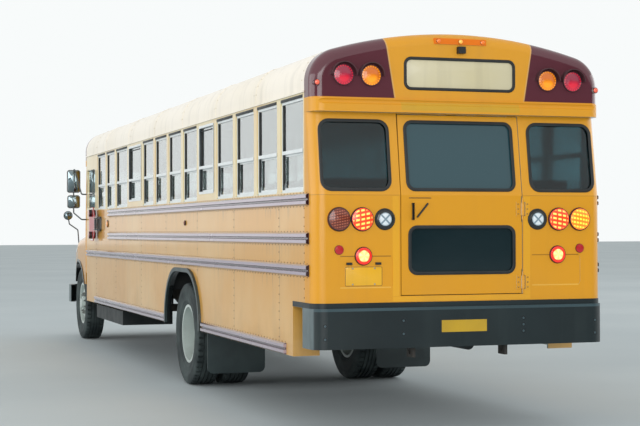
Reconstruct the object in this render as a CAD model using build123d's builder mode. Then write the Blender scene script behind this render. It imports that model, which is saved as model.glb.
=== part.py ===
from build123d import *
import os
from math import cos, hypot, radians, sin

os.makedirs("parts", exist_ok=True)

# School bus with its bonnet ahead of the windscreen. X points forward, Y to the bus's left, Z up.
# The origin is on the road, under the middle of the bus. All sizes are millimetres.
# A distance is measured along the bus, forward from the rear face of the body.

# Overall
BODY_WIDTH = 2438
HALF = BODY_WIDTH / 2
WALL = 45
WHEELBASE = 6930
REAR_OVERHANG = 4450
FRONT_OVERHANG = 920
BUMPER_PROUD = 30
REAR_AXLE = REAR_OVERHANG
FRONT_AXLE = REAR_AXLE + WHEELBASE
NOSE = FRONT_AXLE + FRONT_OVERHANG
REAR_TO_MIDDLE = (NOSE - BUMPER_PROUD) / 2

# Heights
SKIRT = 605
FLOOR_UNDER = 1000
FLOOR_THICK = 70
FLOOR_TOP = FLOOR_UNDER + FLOOR_THICK
REAR_SKIRT = FLOOR_UNDER + 40
BELT = 1860
EAVES = 2650
ROOF_RISE = 475
APEX = EAVES + ROOF_RISE

# Clearances
RUNNING = 6
PIN_FIT = 0.3
SEAT = 0.3

# End walls of the body, seen from above as rectangles with rounded outer corners
END_CORNER = 100
END_DEPTH = 215
REAR_LEAN = 94
REAR_LEAN_TOP = EAVES - 155
LEDGE = 100
LEDGE_TOP = REAR_LEAN_TOP + LEDGE
LEDGE_FACE = 10
CAP_STEP = 30
CAP_ROUND = 90
FRONT_FACE = FRONT_AXLE - 700
FRONT_DEPTH = 200
FRONT_LEAN = 95
FRONT_SKIRT = FLOOR_UNDER
FRONT_SILL = BELT - 260
FRONT_LEAN_TOP = EAVES - 130
FRONT_CAP_STEP = 40
SIDE_REAR = END_DEPTH
SIDE_FRONT = FRONT_FACE - FRONT_DEPTH

# Roof section: two corner arcs and one shallow crown
CROWN_RADIUS = 3700
EAVE_RADIUS = 260
ROOF_SKIN = 40

# Side windows, numbered from the rear: every fifth one pushes out, and two over the aisle's middle are wide
FIRST_WINDOW = 243
FRONT_ZONE = 1123
PILLAR = 98.5
WINDOW_COUNT = 13
WIDE_WINDOWS = (9, 10)
WIDE_EXTRA = 166
PUSH_OUTS = (4, 9)
WINDOW_RUN = FRONT_FACE - FRONT_ZONE - FIRST_WINDOW
WINDOW = (WINDOW_RUN - len(WIDE_WINDOWS) * WIDE_EXTRA - (WINDOW_COUNT - 1) * PILLAR) / WINDOW_COUNT
WINDOW_SILL = BELT + 30
WINDOW_HEAD = EAVES - 30
WINDOW_CORNER = 30
MEETING_RAIL = WINDOW_SILL + 320
RAISED_SILL = 60
DRIVER_WINDOW = (FRONT_FACE - 916, FRONT_FACE - 296, BELT + 59, EAVES - 197)

# Openings in the rear wall: half widths or Y spans, then heights
DOOR_HALF = 516
DOOR_SILL = REAR_SKIRT + 48
DOOR_HEAD = REAR_LEAN_TOP - 5
REAR_WINDOW = (595, 1145, BELT + 40, REAR_LEAN_TOP - 65)
DOOR_WINDOW = (450, BELT + 42, REAR_LEAN_TOP - 65)
DOOR_LOWER_WINDOW = (440, DOOR_SILL + 170, BELT - 245)
REAR_WINDOW_CORNER = 75
WINDSCREEN = (70, 1130, FRONT_SILL + 110, FRONT_LEAN_TOP - 60)

# Entrance doorway, on the right ahead of the last side window
ENTRANCE_FRONT = FRONT_FACE - 240
ENTRANCE_REAR = ENTRANCE_FRONT - 740
ENTRANCE_SILL = SKIRT - 185
ENTRANCE_HEAD = FRONT_LEAN_TOP - 90

# Rear wheel arch
ARCH_MIDDLE = REAR_AXLE - 80
ARCH_HALF = 760
ARCH_TOP = SKIRT + 565
ARCH_CORNER = 520
FLARE_WIDTH = 42
FLARE_PROUD = 26

# Wheels
TYRE_RADIUS = 525
TYRE_WIDTH = 279
BEAD_RADIUS = 286
RIM_EDGE = 302
DUAL_OUTER = 1030
DUAL_INNER = 708
FRONT_TRACK = 1020
HUB_BORE = 40
KINGPIN_Y = 860

# Chassis frame
FRAME_HALF = 430
FRAME_TOP = FLOOR_UNDER - 40
FRAME_DEPTH = 250
FRAME_UNDER = FRAME_TOP - FRAME_DEPTH
FRAME_REAR = -20
FRAME_FRONT = NOSE - 270
FRAME_WEB = 10
FRAME_FLANGE = 80
CROSS_MEMBERS = (400, REAR_AXLE - 2250, REAR_AXLE - 750, REAR_AXLE + 750, REAR_AXLE + 2550, REAR_AXLE + 4350,
                 FRONT_FACE - 180, FRAME_FRONT - 80)
HORN_TOP = FRAME_UNDER + 50

# Bonnet hinge, under the nose
HOOD_NOSE = NOSE - 130
HOOD_HINGE = HOOD_NOSE - 75
HOOD_HINGE_Z = HORN_TOP + 100
HOOD_FOOT = HOOD_HINGE_Z - 30


def fore(distance):
    """X of a place this far ahead of the rear face of the body."""
    return distance - REAR_TO_MIDDLE


def side_plane(y):
    """Upright plane along the bus: its own x is X, its own y is Z, and it extrudes to the right."""
    return Plane(origin=(0, y, 0), x_dir=(1, 0, 0), z_dir=(0, -1, 0))


def cross_plane(x):
    """Upright plane across the bus: its own x is Y, its own y is Z, and it extrudes forward."""
    return Plane(origin=(x, 0, 0), x_dir=(0, 1, 0), z_dir=(1, 0, 0))


def box(x0, x1, y0, y1, z0, z1, mode=Mode.ADD):
    """A plain block between two corners."""
    with Locations(((x0 + x1) / 2, (y0 + y1) / 2, (z0 + z1) / 2)):
        Box(abs(x1 - x0), abs(y1 - y0), abs(z1 - z0), mode=mode)


def drum(x, y, z, radius, length, mode=Mode.ADD):
    """A cylinder that lies across the bus."""
    with Locations(Location((x, y, z), (90, 0, 0))):
        Cylinder(radius, length, mode=mode)


def rod(start, end, radius):
    """A round bar between two points."""
    run = Vector(*end) - Vector(*start)
    with BuildSketch(Plane(origin=start, z_dir=run)) as ring:
        Circle(radius)
    extrude(ring.sketch, amount=run.length)


def bent_tube(points, radius, bend):
    """A round bar through a list of points, with an arc at each bend."""
    with BuildLine() as route:
        FilletPolyline(*points, radius=bend)
    with BuildSketch(Plane(origin=points[0], z_dir=Vector(*points[1]) - Vector(*points[0]))) as ring:
        Circle(radius)
    sweep(ring.sketch, path=route.line)


def mirrored(y, y1):
    """The two Y spans of a pair of like pieces, left then right."""
    return ((y, y1), (-y1, -y))


def cut_window(y0, y1, z0, z1, x0, depth):
    """Rounded opening through a wall that faces along the bus."""
    with BuildSketch(cross_plane(x0)) as opening:
        with Locations(((y0 + y1) / 2, (z0 + z1) / 2)):
            RectangleRounded(y1 - y0, z1 - z0, REAR_WINDOW_CORNER)
    extrude(opening.sketch, amount=depth, mode=Mode.SUBTRACT)


def save(name, maker):
    maker.part.label = name
    export_step(maker.part, "parts/" + name + ".step")


def window_rows():
    """Rear and front edge, sill and head of each side window."""
    rows = []
    start = FIRST_WINDOW
    for number in range(WINDOW_COUNT):
        width = WINDOW + (WIDE_EXTRA if number in WIDE_WINDOWS else 0)
        sill = WINDOW_SILL + (RAISED_SILL if number in PUSH_OUTS else 0)
        rows.append((start, start + width, sill, WINDOW_HEAD))
        start += width + PILLAR
    return rows


WINDOWS = window_rows()


def end_plan(face, open_end, inset):
    """Plan of an end wall: a rectangle from its open end to its face, face corners rounded."""
    middle = (face + open_end) / 2
    with Locations((middle, 0)):
        Rectangle(abs(face - open_end), 2 * (HALF - inset))
    corners = vertices().sort_by(Axis.X)
    pair = corners[-2:] if face > open_end else corners[:2]
    fillet(pair, END_CORNER - inset)


def end_wall(face, open_end, levels, inset, mode):
    """Prism from the first to the second level, then a block that leans by the face's shift."""
    (z_low, z_belt, z_top, lean) = levels
    if z_belt > z_low:
        with BuildSketch(Plane.XY.offset(z_low)) as plan:
            end_plan(face, open_end, inset)
        extrude(plan.sketch, amount=z_belt - z_low, mode=mode)
    if z_top > z_belt:
        with BuildSketch(Plane.XY.offset(z_belt)) as belt_plan:
            end_plan(face, open_end, inset)
        with BuildSketch(Plane.XY.offset(z_top)) as top_plan:
            end_plan(face + lean, open_end, inset)
        loft([belt_plan.sketch, top_plan.sketch], ruled=True, mode=mode)


def roof_outline(inset, z_low):
    """Half-round section of the roof, closed along its foot, on the cross plane in use."""
    crown = CROWN_RADIUS - inset
    corner = EAVE_RADIUS - inset
    crown_z = APEX - CROWN_RADIUS
    corner_y = HALF - EAVE_RADIUS
    reach = CROWN_RADIUS - EAVE_RADIUS
    rise = (reach ** 2 - corner_y ** 2) ** 0.5
    corner_z = crown_z + rise
    meet = (corner_y + corner * corner_y / reach, corner_z + corner * rise / reach)
    half_angle_y = corner_y / reach + 1
    half_angle_z = rise / reach
    scale = corner / hypot(half_angle_y, half_angle_z)
    middle = (corner_y + half_angle_y * scale, corner_z + half_angle_z * scale)
    side = HALF - inset
    with BuildLine() as outline:
        Line((side, z_low), (side, corner_z))
        ThreePointArc((side, corner_z), middle, meet)
        ThreePointArc(meet, (0, crown_z + crown), (-meet[0], meet[1]))
        ThreePointArc((-meet[0], meet[1]), (-middle[0], middle[1]), (-side, corner_z))
        Line((-side, corner_z), (-side, z_low))
        Line((-side, z_low), (side, z_low))
    make_face(outline.edges())


def roof_block(x0, x1, inset, z_low, mode=Mode.ADD):
    with BuildSketch(cross_plane(x0)) as section:
        roof_outline(inset, z_low)
    extrude(section.sketch, amount=x1 - x0, mode=mode)


# Hinges with an upright pin: the frame keeps the pin, the leaf carries a sleeve round it
HINGE_PIN = 7
SLEEVE = 15
HINGE_SPAN = 110
HINGE_END_GAP = 5
PIN_ANCHOR = 30
HINGE_PLATE = (24, 56, 4)


def hinge_in_frame(x, y, heights):
    """Cuts room for each sleeve and puts in the pin, which stays fixed above and below."""
    for z in heights:
        with Locations((x, y, z)):
            Cylinder(SLEEVE + RUNNING, HINGE_SPAN, mode=Mode.SUBTRACT)
            Cylinder(HINGE_PIN, HINGE_SPAN + 2 * PIN_ANCHOR)


def hinge_on_leaf(x, y, heights):
    """Cuts the leaf back from the fixed pin and adds a sleeve that turns on it."""
    for z in heights:
        with Locations((x, y, z)):
            Cylinder(HINGE_PIN + RUNNING, HINGE_SPAN + 3 * PIN_ANCHOR, mode=Mode.SUBTRACT)
            Cylinder(SLEEVE, HINGE_SPAN - 2 * HINGE_END_GAP)
            Cylinder(HINGE_PIN + PIN_FIT, HINGE_SPAN, mode=Mode.SUBTRACT)


def hinge_plates(x, y, heights, side):
    """Flat straps beside each sleeve, on the rear face, on one side of the hinge."""
    (near, far, thick) = HINGE_PLATE
    for z in heights:
        box(x - thick, x + 1, y + side * near, y + side * far, z - HINGE_SPAN / 2, z + HINGE_SPAN / 2)


# Rear wall, with a shallow pressed panel under each tail lamp
EXIT_HINGE = (fore(0), -DOOR_HALF)
EXIT_HINGE_HEIGHTS = (DOOR_SILL + 92, BELT - 105)
PRESSED_PANEL = (800, 1275, 440, 240, 30)
PRESSING = 3
with BuildPart() as rear_wall:
    levels = (REAR_SKIRT, BELT, REAR_LEAN_TOP, REAR_LEAN)
    end_wall(fore(0), fore(END_DEPTH), levels, 0, Mode.ADD)
    end_wall(fore(WALL), fore(END_DEPTH + 1), levels, WALL, Mode.SUBTRACT)
    box(fore(-5), fore(END_DEPTH - 20), -DOOR_HALF, DOOR_HALF, DOOR_SILL, DOOR_HEAD, Mode.SUBTRACT)
    for y0, y1 in mirrored(REAR_WINDOW[0], REAR_WINDOW[1]):
        cut_window(y0, y1, REAR_WINDOW[2], REAR_WINDOW[3], fore(-5), END_DEPTH - 20)
    (y, z, wide, tall, corner) = PRESSED_PANEL
    for side in (1, -1):
        with BuildSketch(cross_plane(fore(-1))) as pressing:
            with Locations((side * y, z)):
                RectangleRounded(wide, tall, corner)
        extrude(pressing.sketch, amount=1 + PRESSING, mode=Mode.SUBTRACT)
    hinge_in_frame(*EXIT_HINGE, EXIT_HINGE_HEIGHTS)
    hinge_plates(*EXIT_HINGE, EXIT_HINGE_HEIGHTS, -1)
save("rear_wall", rear_wall)

# Roof caps: each closes the roof with a rounded brow, and holds a shallow pocket for a bare sign
SIGN = (472, LEDGE_TOP + 75, LEDGE_TOP + 335, 60)
SIGN_DEPTH = 12
COVE = 20
MARKER_BOSSES = (1178, LEDGE_TOP + 115, 24)
LIGHT_BAR = (218, LEDGE_TOP + 439, LEDGE_TOP + 485)
BOSS_PROUD = 8


def round_brow(face_x):
    """Rounds the curved edge where the cap's flat face meets the roof."""
    flat = [face for face in faces().filter_by(Axis.X) if abs(face.center().X - face_x) < 1]
    fillet(flat[0].edges().filter_by(GeomType.CIRCLE), CAP_ROUND)


def cap_fittings(face_x, facing):
    """Sign pocket, bar for the three roof lamps, and a flat boss for each corner lamp."""
    (half, low, high, corner) = SIGN
    with BuildSketch(cross_plane(face_x - SIGN_DEPTH)) as pocket:
        with Locations((0, (low + high) / 2)):
            RectangleRounded(2 * half, high - low, corner)
    extrude(pocket.sketch, amount=2 * SIGN_DEPTH, mode=Mode.SUBTRACT)
    (half, low, high) = LIGHT_BAR
    box(face_x + facing * BOSS_PROUD, face_x - facing * CAP_ROUND / 3, -half, half, low, high)
    (y, z, radius) = MARKER_BOSSES
    for side in (1, -1):
        with Locations(Location((face_x - facing * (CAP_ROUND / 2 - BOSS_PROUD) / 2, side * y, z), (0, 90, 0))):
            Cylinder(radius, CAP_ROUND / 2 + BOSS_PROUD)


with BuildPart() as rear_cap:
    roof_block(fore(CAP_STEP), fore(END_DEPTH), 0, LEDGE_TOP)
    round_brow(fore(CAP_STEP))
    with BuildSketch(Plane.XY.offset(REAR_LEAN_TOP + SEAT)) as ledge:
        end_plan(fore(LEDGE_FACE), fore(END_DEPTH), 0)
    extrude(ledge.sketch, amount=LEDGE - SEAT)
    drum(fore(LEDGE_FACE - COVE / 3), 0, LEDGE_TOP - COVE - 4, COVE, BODY_WIDTH + COVE, Mode.SUBTRACT)
    cap_fittings(fore(CAP_STEP), -1)
    roof_block(fore(CAP_STEP + CAP_ROUND), fore(END_DEPTH + 1), ROOF_SKIN, REAR_LEAN_TOP - 1, Mode.SUBTRACT)
save("rear_cap", rear_cap)

# Front wall below the windscreen
with BuildPart() as front_wall:
    levels = (FRONT_SKIRT, FRONT_SILL, FRONT_SILL, 0)
    end_wall(fore(FRONT_FACE), fore(SIDE_FRONT), levels, 0, Mode.ADD)
    end_wall(fore(FRONT_FACE - WALL), fore(SIDE_FRONT - 1), levels, WALL, Mode.SUBTRACT)
save("front_wall", front_wall)

# Windscreen frame and front roof cap
with BuildPart() as front_cap:
    levels = (FRONT_SILL, FRONT_SILL, FRONT_LEAN_TOP, -FRONT_LEAN)
    end_wall(fore(FRONT_FACE), fore(SIDE_FRONT), levels, 0, Mode.ADD)
    roof_block(fore(SIDE_FRONT), fore(FRONT_FACE - FRONT_CAP_STEP), 0, FRONT_LEAN_TOP)
    round_brow(fore(FRONT_FACE - FRONT_CAP_STEP))
    cap_fittings(fore(FRONT_FACE - FRONT_CAP_STEP), 1)
    end_wall(fore(FRONT_FACE - WALL), fore(SIDE_FRONT - 1), levels, WALL, Mode.SUBTRACT)
    roof_block(fore(SIDE_FRONT - 1), fore(FRONT_FACE - FRONT_CAP_STEP - CAP_ROUND), ROOF_SKIN,
               FRONT_LEAN_TOP - 1, Mode.SUBTRACT)
    for y0, y1 in mirrored(WINDSCREEN[0], WINDSCREEN[1]):
        cut_window(y0, y1, WINDSCREEN[2], WINDSCREEN[3], fore(SIDE_FRONT - 20), FRONT_DEPTH + 40)
save("front_cap", front_cap)

# Roof shell with lapped bows over every second pillar, gutters, and two hatch openings
HATCH_CENTRES = (REAR_AXLE - 1100, REAR_AXLE + 3350)
HATCH_HALF = 300
COAMING = 25
COAMING_TOP = APEX + 22
LID_HALF = HATCH_HALF + COAMING + 35
LID_THICK = 36
LID_CORNER = 20
HATCH_PIN = 6
HATCH_PIN_OUT = 25
HATCH_PIN_Z = COAMING_TOP + 24
HATCH_PIN_Y = HATCH_HALF - 60
BOW_HALF = 20
BOW_RISE = 3
BOW_PILLARS = (1, 3, 5, 7, 9, 11)
GUTTER = (12, 14)
with BuildPart() as roof:
    roof_block(fore(SIDE_REAR), fore(SIDE_FRONT), 0, EAVES)
    for number in BOW_PILLARS:
        middle = (WINDOWS[number][1] + WINDOWS[number + 1][0]) / 2
        roof_block(fore(middle - BOW_HALF), fore(middle + BOW_HALF), -BOW_RISE, EAVES)
    for y0, y1 in mirrored(HALF - 1, HALF + GUTTER[0]):
        box(fore(SIDE_REAR), fore(SIDE_FRONT), y0, y1, EAVES, EAVES + GUTTER[1])
    roof_block(fore(SIDE_REAR - 1), fore(SIDE_FRONT + 1), ROOF_SKIN, EAVES - 1, Mode.SUBTRACT)
    for centre in HATCH_CENTRES:
        rim = HATCH_HALF + COAMING
        box(fore(centre - rim), fore(centre + rim), -rim, rim, APEX - ROOF_SKIN, COAMING_TOP)
        box(fore(centre - HATCH_HALF), fore(centre + HATCH_HALF), -HATCH_HALF, HATCH_HALF, EAVES + HATCH_HALF,
            APEX + HATCH_HALF, Mode.SUBTRACT)
        # two pairs of ears ahead of the coaming hold the hinge pins
        pin_x = fore(centre + LID_HALF + HATCH_PIN_OUT)
        for y in (-HATCH_PIN_Y, HATCH_PIN_Y):
            for ear in (-30, 30):
                with BuildSketch(side_plane(y + ear + 5)) as outline:
                    with BuildLine():
                        Polyline((pin_x - 22, APEX - 20), (pin_x - 14, HATCH_PIN_Z + 14),
                                 (pin_x + 14, HATCH_PIN_Z + 14), (pin_x + 22, APEX - 20), close=True)
                    make_face()
                extrude(outline.sketch, amount=10)
            drum(pin_x, y, HATCH_PIN_Z, HATCH_PIN, 60)
save("roof", roof)


def hatch_lid(centre):
    """A shallow lid that overhangs its coaming and turns on pins along its front edge."""
    pin_x = fore(centre + LID_HALF + HATCH_PIN_OUT)
    under = COAMING_TOP + RUNNING
    box(fore(centre - LID_HALF), fore(centre + LID_HALF), -LID_HALF, LID_HALF, under, under + LID_THICK)
    top = faces().sort_by(Axis.Z)[-1]
    fillet(top.edges(), LID_CORNER)
    for y in (-HATCH_PIN_Y, HATCH_PIN_Y):
        box(fore(centre + LID_HALF - 5), pin_x, y - 18, y + 18, HATCH_PIN_Z - 9, HATCH_PIN_Z + 9)
        drum(pin_x, y, HATCH_PIN_Z, 2 * HATCH_PIN, 36)
        drum(pin_x, y, HATCH_PIN_Z, HATCH_PIN + PIN_FIT, 40, Mode.SUBTRACT)


for name, centre in (("rear_roof_hatch", HATCH_CENTRES[0]), ("front_roof_hatch", HATCH_CENTRES[1])):
    with BuildPart() as lid:
        hatch_lid(centre)
    save(name, lid)

# Side walls: whole panels with windows, wheel arch and, on the right, the doorway
REAR_SKIRT_END = END_DEPTH + 305
SKIRT_CLOSER = (20, 220)


def side_outline():
    """Panel with its rear lower corner cut away beside the bumper, and square windows."""
    with BuildLine() as outline:
        Polyline((fore(SIDE_REAR), REAR_SKIRT), (fore(REAR_SKIRT_END), REAR_SKIRT),
                 (fore(REAR_SKIRT_END), SKIRT), (fore(SIDE_FRONT), SKIRT),
                 (fore(SIDE_FRONT), EAVES), (fore(SIDE_REAR), EAVES), close=True)
    make_face(outline.edges())


def arch_shape(grown):
    """Opening over the rear wheels, with large round shoulders, grown outward by a set width."""
    low = SKIRT - ARCH_CORNER - FLARE_WIDTH
    with Locations((fore(ARCH_MIDDLE), (low + ARCH_TOP + grown) / 2)):
        RectangleRounded(2 * (ARCH_HALF + grown), ARCH_TOP + grown - low, ARCH_CORNER + grown)


def side_wall():
    """Left-hand wall: outer face at half the body's width."""
    with BuildSketch(side_plane(HALF)) as panel:
        side_outline()
        for rear, front, sill, head in WINDOWS:
            with Locations((fore((rear + front) / 2), (sill + head) / 2)):
                RectangleRounded(front - rear, head - sill, WINDOW_CORNER, mode=Mode.SUBTRACT)
    extrude(panel.sketch, amount=WALL)
    with BuildSketch(side_plane(HALF + 1)) as arch:
        arch_shape(0)
    extrude(arch.sketch, amount=WALL + 2, mode=Mode.SUBTRACT)
    # plate that closes the skirt behind the bumper
    (thick, inward) = SKIRT_CLOSER
    box(fore(REAR_SKIRT_END), fore(REAR_SKIRT_END + thick), HALF - inward, HALF - 1, SKIRT, FLOOR_UNDER - SEAT)


with BuildPart() as left_side_wall:
    side_wall()
    (rear, front, sill, head) = DRIVER_WINDOW
    with BuildSketch(side_plane(HALF)) as opening:
        with Locations((fore((rear + front) / 2), (sill + head) / 2)):
            RectangleRounded(front - rear, head - sill, WINDOW_CORNER)
    extrude(opening.sketch, amount=WALL, mode=Mode.SUBTRACT)
save("left_side_wall", left_side_wall)

ENTRANCE_HINGE_HEIGHTS = (ENTRANCE_SILL + 480, ENTRANCE_HEAD - 280)
with BuildPart() as right_side_wall:
    side_wall()
    mirror(about=Plane.XZ, mode=Mode.REPLACE)
    box(fore(ENTRANCE_REAR), fore(ENTRANCE_FRONT), -HALF - 10, -HALF + WALL + 10, SKIRT - 10, ENTRANCE_HEAD,
        Mode.SUBTRACT)
    for x in (ENTRANCE_REAR, ENTRANCE_FRONT):
        hinge_in_frame(fore(x), -HALF, ENTRANCE_HINGE_HEIGHTS)
save("right_side_wall", right_side_wall)

# Stop arm: a bracket on the left wall keeps its upright pin
STOP_PIVOT = (FRONT_FACE - 1290, HALF + 60)
STOP_Z = BELT - 170
STOP_PIN = 8
BRACKET = (150, 60, 30, 200)
FORK = (20, 75, 80)
with BuildPart() as stop_arm_bracket:
    (behind, ahead, thick, tall) = BRACKET
    x0 = fore(STOP_PIVOT[0])
    box(x0 - behind, x0 + ahead, HALF, HALF + thick, STOP_Z - tall / 2, STOP_Z + tall / 2)
    edges_along = edges().filter_by(Axis.Y)
    fillet(edges_along, thick)
    (half, rise, reach) = FORK
    for z in (STOP_Z - rise, STOP_Z + rise):
        box(x0 - half, x0 + half, HALF + thick - 1, HALF + reach, z - STOP_PIN, z + STOP_PIN)
    with Locations((x0, STOP_PIVOT[1], STOP_Z)):
        Cylinder(STOP_PIN, 2 * rise)
save("stop_arm_bracket", stop_arm_bracket)

# The blade is eight-sided, folds forward along the wall, and has a lamp above and below on both faces
BLADE = 457
BLADE_THICK = 12
BLADE_START = 40
ARM_LAMP = (50, 90, 150)
with BuildPart() as stop_arm:
    x0 = fore(STOP_PIVOT[0])
    blade_x = x0 + BLADE_START + BLADE / 2
    with BuildSketch(side_plane(STOP_PIVOT[1] + BLADE_THICK / 2)) as blade:
        with Locations((blade_x, STOP_Z)):
            RegularPolygon(BLADE / 2, 8, major_radius=False, rotation=22.5)
        with Locations((x0 + BLADE_START, STOP_Z)):
            Rectangle(2 * BLADE_START, BLADE / 4)
    extrude(blade.sketch, amount=BLADE_THICK)
    with Locations((x0, STOP_PIVOT[1], STOP_Z)):
        Cylinder(2 * STOP_PIN, 120)
        Cylinder(STOP_PIN + PIN_FIT, 130, mode=Mode.SUBTRACT)
    (radius, length, rise) = ARM_LAMP
    for z in (-rise, rise):
        drum(blade_x, STOP_PIVOT[1], STOP_Z + z, radius, length)
save("stop_arm", stop_arm)

# Floor with cross sills, wheel boxes and the entrance steps
WHEEL_BOX_TOP = ARCH_TOP + 10
WHEEL_BOX_INNER = 545
WHEEL_BOX_SKIN = 20
FLOOR_HALF = HALF - WALL - SEAT
FLOOR_END_GAP = 5
STEP_INNER = 560
STEP_SKIN = 20
STEP_GOING = 210
TREADS = (ENTRANCE_SILL, ENTRANCE_SILL + 220, ENTRANCE_SILL + 430)
FIRST_SILL = REAR_SKIRT_END + 60
SILL_PITCH = 660
SILL_COUNT = 15
SILL_HALF = 30
with BuildPart() as floor:
    box(fore(WALL + FLOOR_END_GAP), fore(FRONT_FACE - WALL - FLOOR_END_GAP), -FLOOR_HALF, FLOOR_HALF,
        FLOOR_UNDER, FLOOR_TOP)
    fillet(edges().filter_by(Axis.Z), END_CORNER - WALL + 2 * FLOOR_END_GAP)
    rear = fore(ARCH_MIDDLE - ARCH_HALF)
    front = fore(ARCH_MIDDLE + ARCH_HALF)
    for side in (1, -1):
        near = side * WHEEL_BOX_INNER
        far = side * FLOOR_HALF
        skin = WHEEL_BOX_SKIN
        # the wheel box stands in a cut-out of the floor
        box(rear - skin - SEAT, front + skin + SEAT, near - side * SEAT, far + side * skin, FLOOR_UNDER - 1,
            FLOOR_TOP + 1, Mode.SUBTRACT)
        box(rear - skin, front + skin, near, far, FLOOR_UNDER, WHEEL_BOX_TOP)
        box(rear, front, near + side * skin, far + side * skin, FLOOR_UNDER - 1, WHEEL_BOX_TOP - skin,
            Mode.SUBTRACT)
    for number in range(SILL_COUNT):
        sill = FIRST_SILL + SILL_PITCH * number
        if abs(sill - ARCH_MIDDLE) > ARCH_HALF + WHEEL_BOX_SKIN + SILL_HALF:
            box(fore(sill - SILL_HALF), fore(sill + SILL_HALF), -FLOOR_HALF, FLOOR_HALF, FRAME_TOP, FLOOR_UNDER)
    # step well behind the entrance door, cut out tread by tread from the door inwards
    box(fore(ENTRANCE_REAR - STEP_SKIN), fore(ENTRANCE_FRONT + STEP_SKIN), -FLOOR_HALF, -STEP_INNER,
        ENTRANCE_SILL - STEP_SKIN, FLOOR_TOP)
    inner = -STEP_INNER - STEP_SKIN
    for tread in reversed(TREADS):
        outer = inner - STEP_GOING if tread > TREADS[0] else -FLOOR_HALF - 1
        box(fore(ENTRANCE_REAR), fore(ENTRANCE_FRONT), outer, inner, tread, FLOOR_TOP + 1, Mode.SUBTRACT)
        inner = outer
save("floor", floor)

# Window frames: a recessed ring in each side opening, a proud meeting rail, and a deeper lower sash
GLASS = 6
FRAME_RING = 24
FRAME_THICK = 34
FRAME_RECESS = 10
PUSH_OUT_PROUD = 4
RAIL_HALF = 14
RAIL_RECESS = 4
SASH_RING = 16
SASH_RECESS = 28


def frame_ring(rear, front, sill, head):
    """Ring that fills the opening's edge, with one hole above and one below the meeting rail."""
    middle = fore((rear + front) / 2)
    wide = front - rear - 2 * SEAT
    with Locations((middle, (sill + head) / 2)):
        RectangleRounded(wide, head - sill - 2 * SEAT, WINDOW_CORNER - SEAT)
    holes = ((sill + FRAME_RING, MEETING_RAIL - RAIL_HALF), (MEETING_RAIL + RAIL_HALF, head - FRAME_RING))
    for low, high in holes:
        with Locations((middle, (low + high) / 2)):
            Rectangle(wide - 2 * FRAME_RING, high - low, mode=Mode.SUBTRACT)


with BuildPart() as window_frames:
    for number, (rear, front, sill, head) in enumerate(WINDOWS):
        face = HALF + PUSH_OUT_PROUD if number in PUSH_OUTS else HALF - FRAME_RECESS
        with BuildSketch(side_plane(face)) as ring:
            frame_ring(rear, front, sill, head)
        extrude(ring.sketch, amount=FRAME_THICK)
    for rear, front, sill, head in WINDOWS:
        box(fore(rear + FRAME_RING), fore(front - FRAME_RING), HALF - FRAME_RECESS - FRAME_THICK,
            HALF - RAIL_RECESS, MEETING_RAIL - RAIL_HALF, MEETING_RAIL + RAIL_HALF)
    with BuildSketch(side_plane(HALF - SASH_RECESS)) as sashes:
        for rear, front, sill, head in WINDOWS:
            low = sill + FRAME_RING
            high = MEETING_RAIL - RAIL_HALF
            wide = front - rear - 2 * FRAME_RING
            with Locations((fore((rear + front) / 2), (low + high) / 2)):
                Rectangle(wide, high - low)
                Rectangle(wide - 2 * SASH_RING, high - low - 2 * SASH_RING, mode=Mode.SUBTRACT)
    extrude(sashes.sketch, amount=FRAME_RECESS + FRAME_THICK - SASH_RECESS)
    mirror(about=Plane.XZ)
save("window_frames", window_frames)

# Glass
UPPER_PANE_Y = HALF - 24
LOWER_PANE_Y = HALF - 36
PANE_DEPTH = 12
WINDSCREEN_DEPTH = 20


def leaning_pane(pane, belt, top, face, lean, depth):
    """A pane with round corners that lies in a leaning wall, a set depth behind its outer face."""
    (y0, y1, z0, z1) = pane
    slope = lean / (top - belt)
    low = face + depth + slope * (z0 - belt)
    high = face + depth + slope * (z1 - belt)
    with BuildPart() as sheet:
        with BuildSketch(side_plane(y1 - SEAT)) as profile:
            with BuildLine():
                Polyline((low, z0), (low + GLASS, z0), (high + GLASS, z1), (high, z1), close=True)
            make_face()
        extrude(profile.sketch, amount=y1 - y0 - 2 * SEAT)
        with BuildSketch(cross_plane(min(low, high) - 1)) as outline:
            with Locations(((y0 + y1) / 2, (z0 + z1) / 2)):
                RectangleRounded(y1 - y0 - 2 * SEAT, z1 - z0 - 2 * SEAT, REAR_WINDOW_CORNER - SEAT)
        extrude(outline.sketch, amount=abs(high - low) + GLASS + 2, mode=Mode.INTERSECT)
    return sheet.part


rear_lean = (BELT, REAR_LEAN_TOP, fore(0), REAR_LEAN, PANE_DEPTH)
front_lean = (FRONT_SILL, FRONT_LEAN_TOP, fore(FRONT_FACE), -FRONT_LEAN, -WINDSCREEN_DEPTH - GLASS)
rear_panes = [leaning_pane((y0, y1) + REAR_WINDOW[2:], *rear_lean)
              for y0, y1 in mirrored(REAR_WINDOW[0], REAR_WINDOW[1])]
windscreen_panes = [leaning_pane((y0, y1) + WINDSCREEN[2:], *front_lean)
                    for y0, y1 in mirrored(WINDSCREEN[0], WINDSCREEN[1])]
upper_pane = leaning_pane((-DOOR_WINDOW[0], DOOR_WINDOW[0]) + DOOR_WINDOW[1:], *rear_lean)
lower_pane = leaning_pane((-DOOR_LOWER_WINDOW[0], DOOR_LOWER_WINDOW[0]) + DOOR_LOWER_WINDOW[1:],
                          BELT, REAR_LEAN_TOP, fore(0), 0, PANE_DEPTH)
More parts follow.
